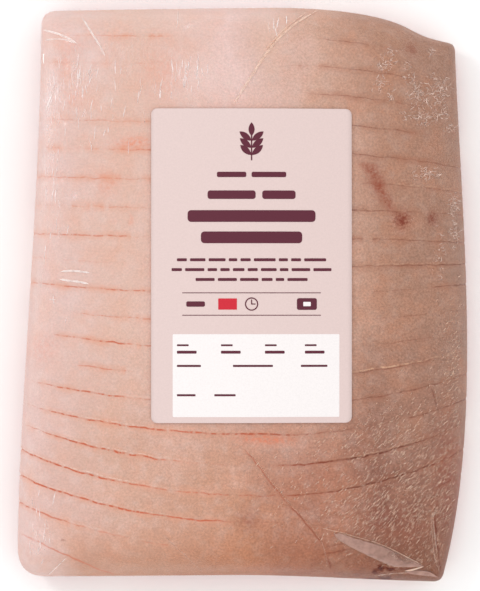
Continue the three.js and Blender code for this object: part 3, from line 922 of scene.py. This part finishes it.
# Where the fine creases lie, as shares of their full density
SLANTED_FIELDS = (
    (1, 72, -76, 17, 26), (0.8, 50, -80, 16, 14), (0.8, 82, -38, 7, 26), (0.5, 56, -58, 24, 13),
    (0.12, 26, -74, 20, 14),
)
UPRIGHT_FIELDS = (
    (0.9, -71.5, 72, 3, 11), (1, -60.8, 79, 4, 8), (0.7, -21, 82, 6, 7), (0.4, -27, 73, 9, 5),
    (0.25, -52, 70, 14, 12), (0.3, -72, 35, 4, 24), (0.4, -77, -92, 5, 9), (0.2, 14, 98, 2, 4),
)
CURL_FIELDS = (
    (1, 55.7, 91.8, 2, 1.6), (1, 53.8, 87.3, 2.9, 1.6), (0.9, 51.9, 79.7, 2.1, 1.9),
    (0.7, 56.1, 76, 1.2, 1.6), (0.8, 62.9, 86.2, 1, 2), (0.9, 63.2, 81.6, 2, 1.2), (1, 67, 75.2, 2.8, 3.8),
    (1, 72.3, 82, 1.4, 1.2), (1, 76.1, 82, 1.4, 1.2), (1, 74.9, 78.2, 3.5, 1.6), (1, 74.6, 74.8, 2, 2.7),
    (0.9, 70.8, 72.6, 1.2, 1.5), (1, 75.7, 68.8, 2.3, 1.2), (0.8, 61, 67.7, 1.5, 1.2),
    (1, 68.1, 66.9, 3, 1.9), (1, 78.7, 63.1, 1.4, 1.2), (0.9, 72.3, 92.6, 1.4, 1),
    (1, 80.6, 34.1, 1.6, 3.4), (0.8, 69.3, 45.8, 3.8, 1.4), (0.8, 80.6, 23.9, 1.6, 3.8),
    (0.3, 74.6, 14.1, 2, 6),
)
# The families of creases: name, fields, tries, heading, spread, longest, bend, width, haze,
# sheen and colour
# Their whitening paints the white glints on the creases
CREASES = (
    ("creases_slanted", SLANTED_FIELDS, 56000, 48, 6, 2.3, 2, 0.28, 0.34, 0, (228, 190, 166)),
    ("creases_upright", UPRIGHT_FIELDS, 13000, 88, 6, 6, 3, 0.42, 0.48, 0, (255, 250, 250)),
    ("creases_curled", CURL_FIELDS, 100000, 0, 90, 3, 60, 0.28, 0.46, 0, (226, 196, 182)),
)
# A crease's height as a share of its width, its steps, and how far it keeps from the label and the rim
CREASE_RISE = 0.16
CREASE_STEPS = 4
LABEL_MARGIN = 2.0
RIM_MARGIN = 2.5
# Short thin lines in the rind beside the cuts: strength, start, end and half width
SCRATCHES = (
    (0.6, (-84.7, -89.8), (-48.1, -106), 0.45), (0.5, (71, -33.5), (73.6, -43.5), 0.5),
    (0.5, (28.5, -98), (41.5, -95.6), 0.5), (0.6, (32.2, -96.5), (33, -104.8), 0.5),
    (0.5, (0.4, -57.4), (17.1, -78.7), 0.45), (0.65, (17.1, -78.5), (31, -94), 0.45),
    (0.7, (57.4, -103.9), (65.4, -104.3), 0.45), (0.8, (72.9, -83), (74.8, -101), 0.55),
    (0.8, (74.2, -100), (75.6, -106.4), 0.55),
)
# Where a painted highlight runs as a thin light line along the lip of a cut
LIP_HIGHLIGHTS = (
    (1, 51, -28, 24, 5, 8), (0.5, 66, 38, 14, 6), (0.5, 56, -60, 20, 4, 10), (0.4, 62, 14, 20, 8),
    (0.6, -55, -62, 30, 24),
)
# Where the cuts show less than elsewhere
FAINT_CUTS = (
    (0.72, -70, 70, 60, 62), (0.6, 62, 60, 45, 75), (0.2, 70, -20, 30, 30),
)


def roast_push(points, levels, opened, distance):
    """How far the roast's skin lies below the film: its cuts, the step at the rind's edge, and the meat."""
    depth = bpy.context.scene.pork_roast.groove_depth
    groove = depth * opened * np.exp(-(distance / GROOVE_HALF_WIDTH) ** 2)
    x, y, z = points.T
    turned = 1.0 - levels
    rind_edge = RIND_STEP * np.exp(-((turned - RIND_EDGE) / RIND_STEP_WIDTH) ** 2)
    fat_edge = FAT_STEP * np.exp(-((turned - FAT_EDGE) / FAT_STEP_WIDTH) ** 2)
    on_side = smoothstep(turned, FAT_EDGE, 0.4) * smoothstep(turned, 1.0, 0.9)
    bulges = MEAT_BULGE * (1.0 + ripple(x + z, y, BULGE_SIZE, 3)) * on_side
    return FILM_GAP + groove + rind_edge + fat_edge + np.maximum(0.0, bulges)


def skin_form(columns, offsets, end_counts, turns):
    """The pack's form as a closed skin, with the nearest cut's distance and gape at every point."""
    shares = column_shares(*columns)
    rows, nearest, distance = top_grid(shares, offsets, *end_counts)
    x, y = rows[..., 0], rows[..., 1]
    raised = swell(distance[:, None], depth_inside(x, y))
    points, faces, levels = closed_skin(np.dstack([rows, top_height(x, y) + raised]), turns)
    ring = rim_of(*x.shape)
    opened, away = gape(rows, nearest).ravel(), np.repeat(distance, len(shares))
    rings = len(turns) + len(BASE_SHRINKS)
    fade = [1.0 - smoothstep(turn, 0.03, RIND_EDGE) for turn in turns] + [0.0] * len(BASE_SHRINKS)
    opened = np.concatenate([opened, np.tile(opened[ring], rings) * np.repeat(fade, len(ring)), [0.0]])
    away = np.concatenate([away, np.tile(away[ring], rings), [99.0]])
    return points, faces, levels, opened, away


def build_roast(settings):
    points, faces, levels, gaping, distance = skin_form(
        ROAST_COLUMNS, ROAST_OFFSETS, ROAST_END_ROWS, ROAST_TURNS)
    opened = gaping * (1.0 - spots(points[:, 0], points[:, 1], FAINT_CUTS))
    roast = new_piece("roast", points, faces, new_material("scored_roast", roast_shader, settings))
    push_in(roast, roast_push(points, levels, opened, distance))
    x, y = points[:, 0], points[:, 1]
    on_top = levels > 0.99
    turn = np.clip(distance / CUT_PITCH, -0.5, 0.5) * 2 * math.pi
    # The fourth cut weight places the painted highlight on the lip of a cut
    write_weights(roast, "cut", np.sin(turn), np.cos(turn), opened, spots(x, y, LIP_HIGHLIGHTS) * on_top)
    # Weights for blood and painted shade, warm marks, the gape, and the painted shade along the rim
    write_weights(roast, "stains_and_shade", spots(x, y, BLOOD_AND_SHADE_MARKS) * on_top, spots(x, y, WARM_MARKS) * on_top, gaping,
                  1.0 - smoothstep(depth_inside(x, y), 0.0, RIM_SHADE_WIDTH) * on_top)
    roast.data.attributes.new("level", "FLOAT", "POINT").data.foreach_set("value", levels)
    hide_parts("sealed_roast")


def build_film(settings):
    points, faces, levels, opened, distance = skin_form(FILM_COLUMNS, FILM_OFFSETS, FILM_END_ROWS, FILM_TURNS)
    film = new_piece("bag_film", points, faces, new_material("clear_film", film_shader, settings))
    push_in(film, FILM_DIP * opened * np.exp(-(distance / FILM_DIP_WIDTH) ** 2))
    x, y = points[:, 0], points[:, 1]
    on_top = levels > 0.8
    # Weights for the painted glints on upright wrinkles, blotches of painted highlight and veils of painted
    # sheen
    write_weights(film, "wrinkles", spots(x, y, UPRIGHT_WRINKLES_AND_GLINTS) * on_top, spots(x, y, HIGHLIGHT_BLOTCHES) * on_top,
                  spots(x, y, SHEEN_VEILS) * on_top)
    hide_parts("sealed_roast")


def film_point(x, y, lift):
    """Points above the film's top, and the way out of the film there."""
    step = 0.5
    place = cut_place(x, y)
    away = (place - np.clip(np.round(place), 1, CUT_COUNT)) * CUT_PITCH
    height = top_height(x, y) + swell(away, depth_inside(x, y))
    slope_x = (top_height(x + step, y) - top_height(x - step, y)) / (2 * step)
    slope_y = (top_height(x, y + step) - top_height(x, y - step)) / (2 * step)
    normal = np.stack([-slope_x, -slope_y, np.ones_like(slope_x)], axis=1)
    normal /= np.linalg.norm(normal, axis=1, keepdims=True)
    return np.stack([x, y, height], axis=1) + normal * np.reshape(lift, (-1, 1)), normal


def fold_mesh(spine, normals, width, height, seed):
    """A closed three-sided ridge along a line of points, drawn out to a point at each end."""
    way = np.gradient(spine, axis=0)
    way /= np.linalg.norm(way, axis=1, keepdims=True)
    side = np.cross(way, normals)
    share = np.linspace(0.0, 1.0, len(spine))
    taper = np.sqrt(np.clip(np.minimum(share, 1.0 - share) / FOLD_TAPER, 0.0, 1.0))[1:-1, None]
    uneven = (1.0 + 0.3 * ripple(share * 100.0, 0.0 * share, 9.0, seed))[1:-1, None]
    spine, side, normals, tips = spine[1:-1], side[1:-1], normals[1:-1], (spine[0], spine[-1])
    left = spine - side * width / 2 * taper - normals * FOLD_ROOT
    right = spine + side * width / 2 * taper - normals * FOLD_ROOT
    crest = spine + normals * height * taper * uneven
    points = np.stack([left, right, crest], axis=1).reshape(-1, 3)
    faces = []
    for i in range(len(spine) - 1):
        a, b = 3 * i, 3 * i + 3
        faces += [(a, b, b + 1, a + 1), (a + 1, b + 1, b + 2, a + 2), (a + 2, b + 2, b, a)]
    start, end, last = len(points), len(points) + 1, len(points) - 3
    faces += [(start, 0, 1), (start, 1, 2), (start, 2, 0)]
    faces += [(end, last + 1, last), (end, last + 2, last + 1), (end, last, last + 2)]
    return np.vstack([points, tips[0], tips[1]]), faces


def build_folds():
    material = new_material(
        "folded_film", fold_shader, SHEEN_ROUGHNESS, 0.3, 2.0, (255, 246, 242), (236, 194, 168), 0.2)
    for seed, (name, width, height, haze_and_glint, line) in enumerate(TOP_FOLDS):
        length = np.linalg.norm(np.diff(line, axis=0), axis=1).sum()
        path = evenly_spaced(line, max(6, int(length / 1.2)), endpoint=True)
        for _ in range(3):
            path[1:-1] = (path[:-2] + 2 * path[1:-1] + path[2:]) / 4
        spine, normals = film_point(path[:, 0], path[:, 1], 0.0)
        points, faces = fold_mesh(spine, normals, width, height, seed)
        fold = new_piece(name, points, faces, material, smooth=False)
        write_weights(fold, "film", haze_and_glint)


def crease_paths(fields, tries, heading, spread, longest, bend, seed):
    """The paths of short creases, dense where their fields are strong and clear of the label."""
    rng = np.random.default_rng(seed)
    start = np.stack([rng.uniform(-reach, reach, tries) for reach in (SIDE_REACH, END_REACH)], axis=1)
    start = start[rng.random(tries) < spots(*start.T, fields)]
    label_reach = (LABEL_WIDTH / 2 + LABEL_MARGIN, LABEL_LENGTH / 2 + LABEL_MARGIN)
    from_label = np.abs(start - LABEL_CENTRE) - label_reach
    x, y = start.T
    left, right = (np.interp(y, side[:, 1], side[:, 0]) for side in (LEFT_SIDE, RIGHT_SIDE))
    inner = (x > left) & (x < right) & (y > FRONT_MIDDLE[1]) & (y < np.interp(x, *BACK_SIDE.T))
    start = start[inner & (from_label.max(axis=1) > 0) & (depth_inside(x, y) > RIM_MARGIN)]
    size = (len(start), CREASE_STEPS)
    step = rng.uniform(0.35, 1.0, (len(start), 1)) * longest / CREASE_STEPS
    angles = heading + spread * rng.normal(size=(len(start), 1)) + bend * rng.normal(size=size).cumsum(axis=1)
    angles = np.radians(angles)
    moves = np.stack([np.cos(angles), np.sin(angles)], axis=-1) * step[..., None]
    return np.concatenate([start[:, None], start[:, None] + moves.cumsum(axis=1)], axis=1), rng


def build_creases(settings):
    """The fine creases: slanting at the front right, upright at the back left, curled at the back right, with
    white glints painted on them.
    """
    for seed, (name, fields, tries, *course, width, haze_and_glint, sheen, tint) in enumerate(CREASES):
        material = new_material(name + "_film", fold_shader, settings.roughness, 0.4, 3.0, tint, tint, sheen)
        paths, rng = crease_paths(fields, tries, *course, seed)
        spines, normals = film_point(paths[..., 0].ravel(), paths[..., 1].ravel(), 0.0)
        spines, normals = (places.reshape(*paths.shape[:2], 3) for places in (spines, normals))
        widths = width * rng.uniform(0.75, 1.25, len(paths))
        plates = [fold_mesh(spine, normal, own_width, own_width * CREASE_RISE, 1)
                  for spine, normal, own_width in zip(spines, normals, widths)]
        points, faces = joined(plates)
        creases = new_piece(name, points, faces, material, smooth=False)
        shares = haze_and_glint * rng.uniform(0.3, 1.5, len(paths))
        write_weights(creases, "film", np.repeat(shares, len(plates[0][0])))


def lens_mesh(back_edge, front_edge, height):
    """A closed lens of loose film between two edges that meet at both ends."""
    steps, columns = 44, 13
    back = evenly_spaced(back_edge, steps + 2, endpoint=True)
    front = evenly_spaced(front_edge, steps + 2, endpoint=True)
    across = np.linspace(-1.0, 1.0, columns)
    flat = lerp(front[1:-1, None, :], back[1:-1, None, :], ((across + 1.0) / 2.0)[None, :, None])
    width = np.linalg.norm(back - front, axis=1)[1:-1, None]
    rise = height * (width / width.max()) ** 0.7 * (1.0 - across ** 2) ** 0.5
    rise = rise * (1.0 + 0.1 * ripple(np.arange(steps)[:, None] * 1.0, across * 3.0, 9.0, 4))
    x, y = flat[..., 0].ravel(), flat[..., 1].ravel()
    over, _ = film_point(x, y, np.ravel(rise) + 0.03)
    under, _ = film_point(x, y, -0.1)
    ends, _ = film_point(back[[0, -1], 0], back[[0, -1], 1], 0.0)
    count = steps * columns
    faces = [tuple(face[::-1]) for face in grid_faces(steps, columns)]
    faces += [tuple(face + count) for face in grid_faces(steps, columns)]
    for i in range(steps - 1):
        for column, flip in ((0, False), (columns - 1, True)):
            a, b = i * columns + column, (i + 1) * columns + column
            faces.append((b, a, a + count, b + count) if flip else (a, b, b + count, a + count))
    for row, end, flip in ((0, 2 * count, False), (steps - 1, 2 * count + 1, True)):
        upper = list(range(row * columns, (row + 1) * columns))
        loop = upper + [index + count for index in reversed(upper)]
        for a, b in zip(loop, loop[1:] + loop[:1]):
            faces.append((b, a, end) if flip else (a, b, end))
    return np.vstack([over, under, ends]), faces


def build_pocket(settings):
    """The lenses of loose film that stand over the thin front right corner."""
    material = new_material(
        "pocket_film", fold_shader, settings.roughness, 0.16, 2.5, POCKET_TINT, POCKET_TINT, 0.0)
    for name, height, back_edge, front_edge in FILM_LENSES:
        points, faces = lens_mesh(back_edge, front_edge, height)
        lens = new_piece(name, points, faces, material)
        write_weights(lens, "film", LENS_HAZE * (1.0 - spots(points[:, 0], points[:, 1], CLEAR_WEDGE)))


# The label

PLATE_STEP = 2.0
PRINT_UNDER = LABEL_HIGH - 0.1
PANEL_OVER = LABEL_HIGH + 0.04
INK_OVER = LABEL_HIGH + 0.07


def on_label(u, v, lift):
    """Label places, from its middle, as points above the rind's crown."""
    x, y = LABEL_CENTRE[0] + np.asarray(u, dtype=float), LABEL_CENTRE[1] + np.asarray(v, dtype=float)
    return np.stack([x, y, crown_height(x, y) + lift], axis=-1)


def rounded_plate(left, right, low, high, corner, under, over):
    """A thin closed plate with rounded corners that bends with the label."""
    arc = corner * (1.0 - np.cos(np.linspace(0.0, math.pi / 2, 5)[:-1]))
    middle = np.linspace(low + corner, high - corner, max(2, int((high - low - 2 * corner) / PLATE_STEP) + 1))
    v = np.concatenate([low + arc, middle, (high - arc)[::-1]])
    into = np.clip(np.maximum(low + corner - v, v - high + corner), 0.0, corner)
    inset = corner - np.sqrt(np.maximum(0.0, corner ** 2 - into ** 2))
    share = np.linspace(0.0, 1.0, max(2, int((right - left) / PLATE_STEP) + 1))
    u = lerp((left + inset)[:, None], (right - inset)[:, None], share)
    v = np.broadcast_to(v[:, None], u.shape)
    rows, columns = u.shape
    count = rows * columns
    top = grid_faces(rows, columns)
    edge = rim_of(rows, columns)
    points = np.vstack([on_label(u, v, over).reshape(-1, 3), on_label(u, v, under).reshape(-1, 3)])
    faces = np.vstack([top, top[:, ::-1] + count, ring_faces(edge, edge + count)])
    return points, [tuple(face) for face in faces]


def loop_plate(loop, under, over):
    """A thin closed plate from the points round a small shape, anticlockwise."""
    loop = np.asarray(loop, dtype=float)
    count = len(loop)
    points = np.vstack([on_label(loop[:, 0], loop[:, 1], over), on_label(loop[:, 0], loop[:, 1], under)])
    ring = np.arange(count)
    sides = [tuple(face) for face in ring_faces(ring, ring + count)]
    return points, [tuple(ring), tuple(ring[::-1] + count)] + sides


def joined(plates):
    points, faces, count = [], [], 0
    for plate_points, plate_faces in plates:
        points.append(plate_points)
        faces += [tuple(index + count for index in face) for face in plate_faces]
        count += len(plate_points)
    return np.vstack(points), faces


def bar(left, right, low, high, corner=None):
    corner = min(high - low, right - left) * 0.3 if corner is None else corner
    return rounded_plate(left, right, low, high, corner, PRINT_UNDER, INK_OVER)


def word_row(left, right, middle, height, seed):
    """A row of plain dashes that fills a width, about as long as words."""
    rng = np.random.default_rng(seed)
    gap = height * 1.1
    lengths = rng.uniform(3.0, 8.5, 40)
    count = int(np.searchsorted(np.cumsum(lengths + gap), right - left)) + 1
    lengths = lengths[:count] * (right - left - gap * (count - 1)) / lengths[:count].sum()
    starts = left + np.concatenate([[0.0], np.cumsum(lengths + gap)[:-1]])
    low, high = middle - height / 2, middle + height / 2
    return [bar(start, start + length, low, high) for start, length in zip(starts, lengths)]


def leaf(base, angle, length, width):
    """A pointed leaf from its base."""
    share = np.linspace(0.0, 1.0, 9)
    half = width / 2 * np.sin(share * math.pi) ** 0.8
    right = np.stack([share * length, -half], axis=1)
    left = np.stack([share * length, half], axis=1)[::-1][1:-1]
    turn = math.radians(angle)
    spin = np.array([[math.cos(turn), math.sin(turn)], [-math.sin(turn), math.cos(turn)]])
    return np.vstack([right, left]) @ spin + base


def sprig():
    """A small sprig of leaves, as a plain ornament at the head of the label."""
    leaves = []
    for height, angle in ((41.5, 42), (44.2, 40), (46.9, 38)):
        leaves += [leaf((0.1, height), angle, 5.6, 2.3), leaf((-0.1, height), 180 - angle, 5.6, 2.3)]
    leaves.append(leaf((0.0, 48.6), 90, 5.2, 2.3))
    return [bar(-0.25, 0.25, 39.5, 49.0)] + [loop_plate(outline, PRINT_UNDER, INK_OVER) for outline in leaves]


def ring_plate(centre, outer, inner):
    """A thin flat ring, as two half rings that meet."""
    plates = []
    for start in (0.0, math.pi):
        angles = np.linspace(start, start + math.pi, 20)
        circle = np.stack([np.cos(angles), np.sin(angles)], axis=1)
        loop = np.vstack([circle * outer, circle[::-1] * inner]) + centre
        plates.append(loop_plate(loop, PRINT_UNDER, INK_OVER))
    return plates


def ink_print():
    """The dark print: an ornament, heading bars, rows of dashes, rules and plain signs."""
    bars = (
        (-13.0, -2.0, 33.2, 35.2), (0.0, 13.0, 33.2, 35.2), (-16.5, 1.5, 25.0, 28.2), (4.0, 16.5, 25.0, 28.2),
        (-24.0, 24.0, 16.4, 20.8), (-19.0, 19.0, 8.4, 12.8),
    )
    plates = sprig() + [bar(*place) for place in bars]
    for i, half_width in enumerate((28.0, 30.0, 21.0)):
        plates += word_row(-half_width, half_width, 2.2 - 3.7 * i, 1.1, 11 + i)
    plates += [bar(-26.0, 26.0, v - 0.14, v + 0.14, 0.05) for v in (-10.2, -18.6)]
    plates += ring_plate((0.0, -14.4), 2.5, 2.05)
    plates += [bar(-0.2, 0.2, -14.5, -12.7), bar(-0.1, 1.5, -14.6, -14.2)]
    return plates + [bar(-24.5, -17.5, -15.4, -13.4), bar(17.0, 24.5, -16.6, -12.2, 0.8)]


def panel_print():
    """Small dashes in the white panel."""
    plates = []
    for column in (-28.0, -11.5, 5.0, 20.0):
        plates += [bar(column, column + 4.4, -30.2, -29.5), bar(column, column + 7.4, -33.0, -31.9)]
    rows = ((-38.0, ((-28.0, -19.0), (-7.0, 8.0), (18.5, 28.5))), (-49.0, ((-28.0, -21.0), (-14.0, -6.0))))
    for low, dashes in rows:
        plates += [bar(left, right, low, low + 0.8) for left, right in dashes]
    return plates


def build_label(settings):
    half_width, half_length = LABEL_WIDTH / 2, LABEL_LENGTH / 2
    points, faces = rounded_plate(
        -half_width, half_width, -half_length, half_length, LABEL_CORNER, LABEL_LOW, LABEL_HIGH)
    material = new_material("label_paper", print_shader, settings.paper)
    label = new_piece("label_sheet", points, faces, material)
    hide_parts("label")


def build_print(settings):
    pieces = (
        ("label_panel", "panel_white", settings.panel, [
            rounded_plate(-29.6, 33.0, -56.8, -25.7, 0.4, PRINT_UNDER, PANEL_OVER),
            rounded_plate(19.4, 22.2, -15.2, -13.6, 0.2, PRINT_UNDER, INK_OVER + 0.03)]),
        ("label_ink", "print_ink", settings.ink, ink_print() + panel_print()),
        ("label_accent", "print_accent", settings.accent, [bar(-12.5, -5.5, -16.5, -12.3, 0.2)]),
    )
    for name, finish, colour, plates in pieces:
        points, faces = joined(plates)
        new_piece(name, points, faces, new_material(finish, print_shader, colour), smooth=False)


# The stage

CAMERA_HEIGHT = 2.02
VIEW_CENTRE = (-0.95, -0.1)
VIEW_LENGTH = 224.6
RIM_HEIGHT = 0.02
SENSOR = 36.0
FLOOR_REACH = 3.0
KEY_PLACE = (-1.1, 0.75, 1.35)
KEY_SIZE = 0.3
FILL_PLACE = (0.2, -0.2, 2.6)
FILL_SIZE = 2.4


def soft_light(name, place, size, power):
    """A square soft light that faces the pack."""
    light = bpy.data.lights.new(name, "AREA")
    light.shape = "SQUARE"
    light.size = size
    light.energy = power
    lamp = placed(name, light)
    lamp.location = place
    x, y, z = place
    lamp.rotation_euler = (math.atan2(math.hypot(x, y), z), 0.0, math.atan2(-x, y) + math.pi)
    lamp.visible_camera = False


def floor_shader(tree, settings):
    tone = (grain(tree, 300.0) * 0.02).mix(settings.floor, screen(246, 246, 246))
    return add(tree, "BsdfPrincipled", {"Base Color": tone, "Roughness": 0.9, "Specular IOR Level": 0.1})


def build_stage(settings):
    scene = bpy.context.scene
    scene.view_settings.view_transform = "Standard"
    scene.view_settings.look = "None"
    material = new_material("pale_floor", floor_shader, settings)
    mesh = bpy.data.meshes.new("floor")
    corners = [(x * FLOOR_REACH, y * FLOOR_REACH, 0) for x, y in ((-1, -1), (1, -1), (1, 1), (-1, 1))]
    mesh.from_pydata(corners, [], [(0, 1, 2, 3)])
    mesh.materials.append(material)
    floor = placed("floor", mesh)
    world = bpy.data.worlds.new("studio")
    world.use_nodes = True
    backdrop = world.node_tree.nodes["Background"]
    backdrop.inputs["Color"].default_value = (1.0, 1.0, 1.0, 1.0)
    backdrop.inputs["Strength"].default_value = settings.sky
    scene.world = world
    soft_light("key_light", KEY_PLACE, KEY_SIZE, settings.key_power)
    soft_light("fill_light", FILL_PLACE, FILL_SIZE, settings.fill_power)
    camera = placed("camera", bpy.data.cameras.new("camera"))
    camera.data.sensor_fit = "VERTICAL"
    camera.data.sensor_height = SENSOR
    camera.data.lens = SENSOR * (CAMERA_HEIGHT - RIM_HEIGHT) / (VIEW_LENGTH * MM)
    camera.location = (VIEW_CENTRE[0] * MM, VIEW_CENTRE[1] * MM, CAMERA_HEIGHT)
    scene.camera = camera


def colour_of(what, red, green, blue):
    return FloatVectorProperty(name=what.capitalize(), description="Colour of the " + what, subtype="COLOR",
                               size=3, min=0.0, max=1.0, default=screen(red, green, blue))


def share_of(name, text, default):
    return FloatProperty(name=name, description=text, default=default, min=0.0, max=1.0, subtype="FACTOR")


def amount_of(name, text, default):
    return FloatProperty(name=name, description=text, default=default, min=0.0)


class RoastSettings(bpy.types.PropertyGroup):
    """The roast's colours and the depth of its cuts"""
    groove_depth: amount_of("Cut depth", "Depth of a fully open cut, in millimetres", 0.35)
    # The rind darkens to the right partly by its own tan and partly by painted shade of the right slope
    back_edge: colour_of("rind at the back, left edge", 217, 188, 184)
    back_left: colour_of("rind left of the label", 213, 177, 163)
    back_middle: colour_of("rind behind the label", 221, 190, 184)
    back_tan: colour_of("rind at the back, where it turns tan", 199, 159, 141)
    back_right: colour_of("rind right of the label", 170, 127, 106)
    right_edge: colour_of("rind at the right edge", 153, 116, 99)
    front_edge: colour_of("rind at the front, left edge", 214, 180, 173)
    front_left: colour_of("rind at the front left", 202, 161, 143)
    front_middle: colour_of("rind in front of the label", 188, 137, 111)
    front_tan: colour_of("rind at the front, where it turns brown", 170, 117, 96)
    front_right: colour_of("rind at the front right", 139, 93, 78)
    # The cuts' colours hold painted shade of their grooves, darkest at the right
    cut_left: colour_of("cuts on the left", 196, 98, 66)
    cut_right: colour_of("cuts on the right", 104, 44, 27)
    halo_left: colour_of("halo beside the cuts on the left", 215, 151, 124)
    halo_right: colour_of("halo beside the cuts on the right", 156, 101, 78)
    fat: colour_of("fat under the rind", 230, 205, 192)
    lean: colour_of("lean meat", 174, 78, 73)


class FilmSettings(bpy.types.PropertyGroup):
    """The clear film's look"""
    roughness: share_of("Roughness", "Roughness of the film's shine", 0.16)
    # How strongly the painted glints, highlights and sheen on the film show, and how milky it is
    haze_and_glint: share_of("Haze", "How white the film's fine wrinkles are", 0.6)


class LabelSettings(bpy.types.PropertyGroup):
    """The label's colours"""
    paper: colour_of("label paper", 218, 196, 192)
    panel: colour_of("plain panel", 238, 232, 231)
    ink: colour_of("print", 89, 25, 45)
    accent: colour_of("small field of colour", 200, 28, 48)


class StageSettings(bpy.types.PropertyGroup):
    """The floor and the lights"""
    floor: colour_of("floor", 253, 253, 253)
    sky: amount_of("Sky", "Brightness of the surroundings", 1.05)
    key_power: amount_of("Key light", "Power of the key light, in watts", 5.0)
    fill_power: amount_of("Fill light", "Power of the light above, in watts", 2.0)


class PORK_OT_roast(bpy.types.Operator):
    """Build the roast with its scored rind, fat and lean meat"""
    bl_idname = "pork.roast"
    bl_label = "Roast"

    def execute(self, context):
        build_roast(context.scene.pork_roast)
        return {"FINISHED"}


class PORK_OT_film(bpy.types.Operator):
    """Build the clear film shrunk round the roast"""
    bl_idname = "pork.film"
    bl_label = "Film"

    def execute(self, context):
        build_film(context.scene.pork_film)
        return {"FINISHED"}


class PORK_OT_folds(bpy.types.Operator):
    """Build the folds of the film"""
    bl_idname = "pork.folds"
    bl_label = "Film folds"

    def execute(self, context):
        build_folds()
        return {"FINISHED"}


class PORK_OT_creases(bpy.types.Operator):
    """Build the fine creases of the film"""
    bl_idname = "pork.creases"
    bl_label = "Fine creases"

    def execute(self, context):
        build_creases(context.scene.pork_film)
        return {"FINISHED"}


class PORK_OT_pocket(bpy.types.Operator):
    """Build the pocket of loose film at the front right corner"""
    bl_idname = "pork.pocket"
    bl_label = "Film pocket"

    def execute(self, context):
        build_pocket(context.scene.pork_film)
        return {"FINISHED"}


class PORK_OT_label(bpy.types.Operator):
    """Build the label's sheet"""
    bl_idname = "pork.label"
    bl_label = "Label"

    def execute(self, context):
        build_label(context.scene.pork_label)
        return {"FINISHED"}


class PORK_OT_print(bpy.types.Operator):
    """Build the label's plain print"""
    bl_idname = "pork.print"
    bl_label = "Label print"

    def execute(self, context):
        build_print(context.scene.pork_label)
        return {"FINISHED"}


class PORK_OT_stage(bpy.types.Operator):
    """Build the floor, the lights and the camera"""
    bl_idname = "pork.stage"
    bl_label = "Stage"

    def execute(self, context):
        build_stage(context.scene.pork_stage)
        return {"FINISHED"}


class PORK_PT_panel(bpy.types.Panel):
    """Lists the pack's pieces and settings"""
    bl_label = "Pork roast"
    bl_idname = "PORK_PT_panel"
    bl_space_type = "VIEW_3D"
    bl_region_type = "UI"
    bl_category = "Pork roast"

    def draw(self, context):
        for operator in OPERATORS:
            self.layout.operator(operator.bl_idname)
        for name in SETTINGS:
            settings = getattr(context.scene, name)
            for key in settings.bl_rna.properties.keys():
                if key not in ("rna_type", "name"):
                    self.layout.prop(settings, key)


OPERATORS = (PORK_OT_roast, PORK_OT_film, PORK_OT_folds, PORK_OT_creases, PORK_OT_pocket, PORK_OT_label,
             PORK_OT_print, PORK_OT_stage)
SETTINGS = {
    "pork_roast": RoastSettings,
    "pork_film": FilmSettings,
    "pork_label": LabelSettings,
    "pork_stage": StageSettings,
}


def register():
    for group in (*SETTINGS.values(), *OPERATORS, PORK_PT_panel):
        bpy.utils.register_class(group)
    for name, group in SETTINGS.items():
        setattr(bpy.types.Scene, name, PointerProperty(type=group))


def unregister():
    for name in SETTINGS:
        delattr(bpy.types.Scene, name)
    for group in (PORK_PT_panel, *reversed(OPERATORS), *SETTINGS.values()):
        bpy.utils.unregister_class(group)


def main():
    register()
    bpy.ops.pork.roast()
    bpy.ops.pork.film()
    bpy.ops.pork.folds()
    bpy.ops.pork.creases()
    bpy.ops.pork.pocket()
    bpy.ops.pork.label()
    bpy.ops.pork.print()
    bpy.ops.pork.stage()


if __name__ == "__main__":
    main()
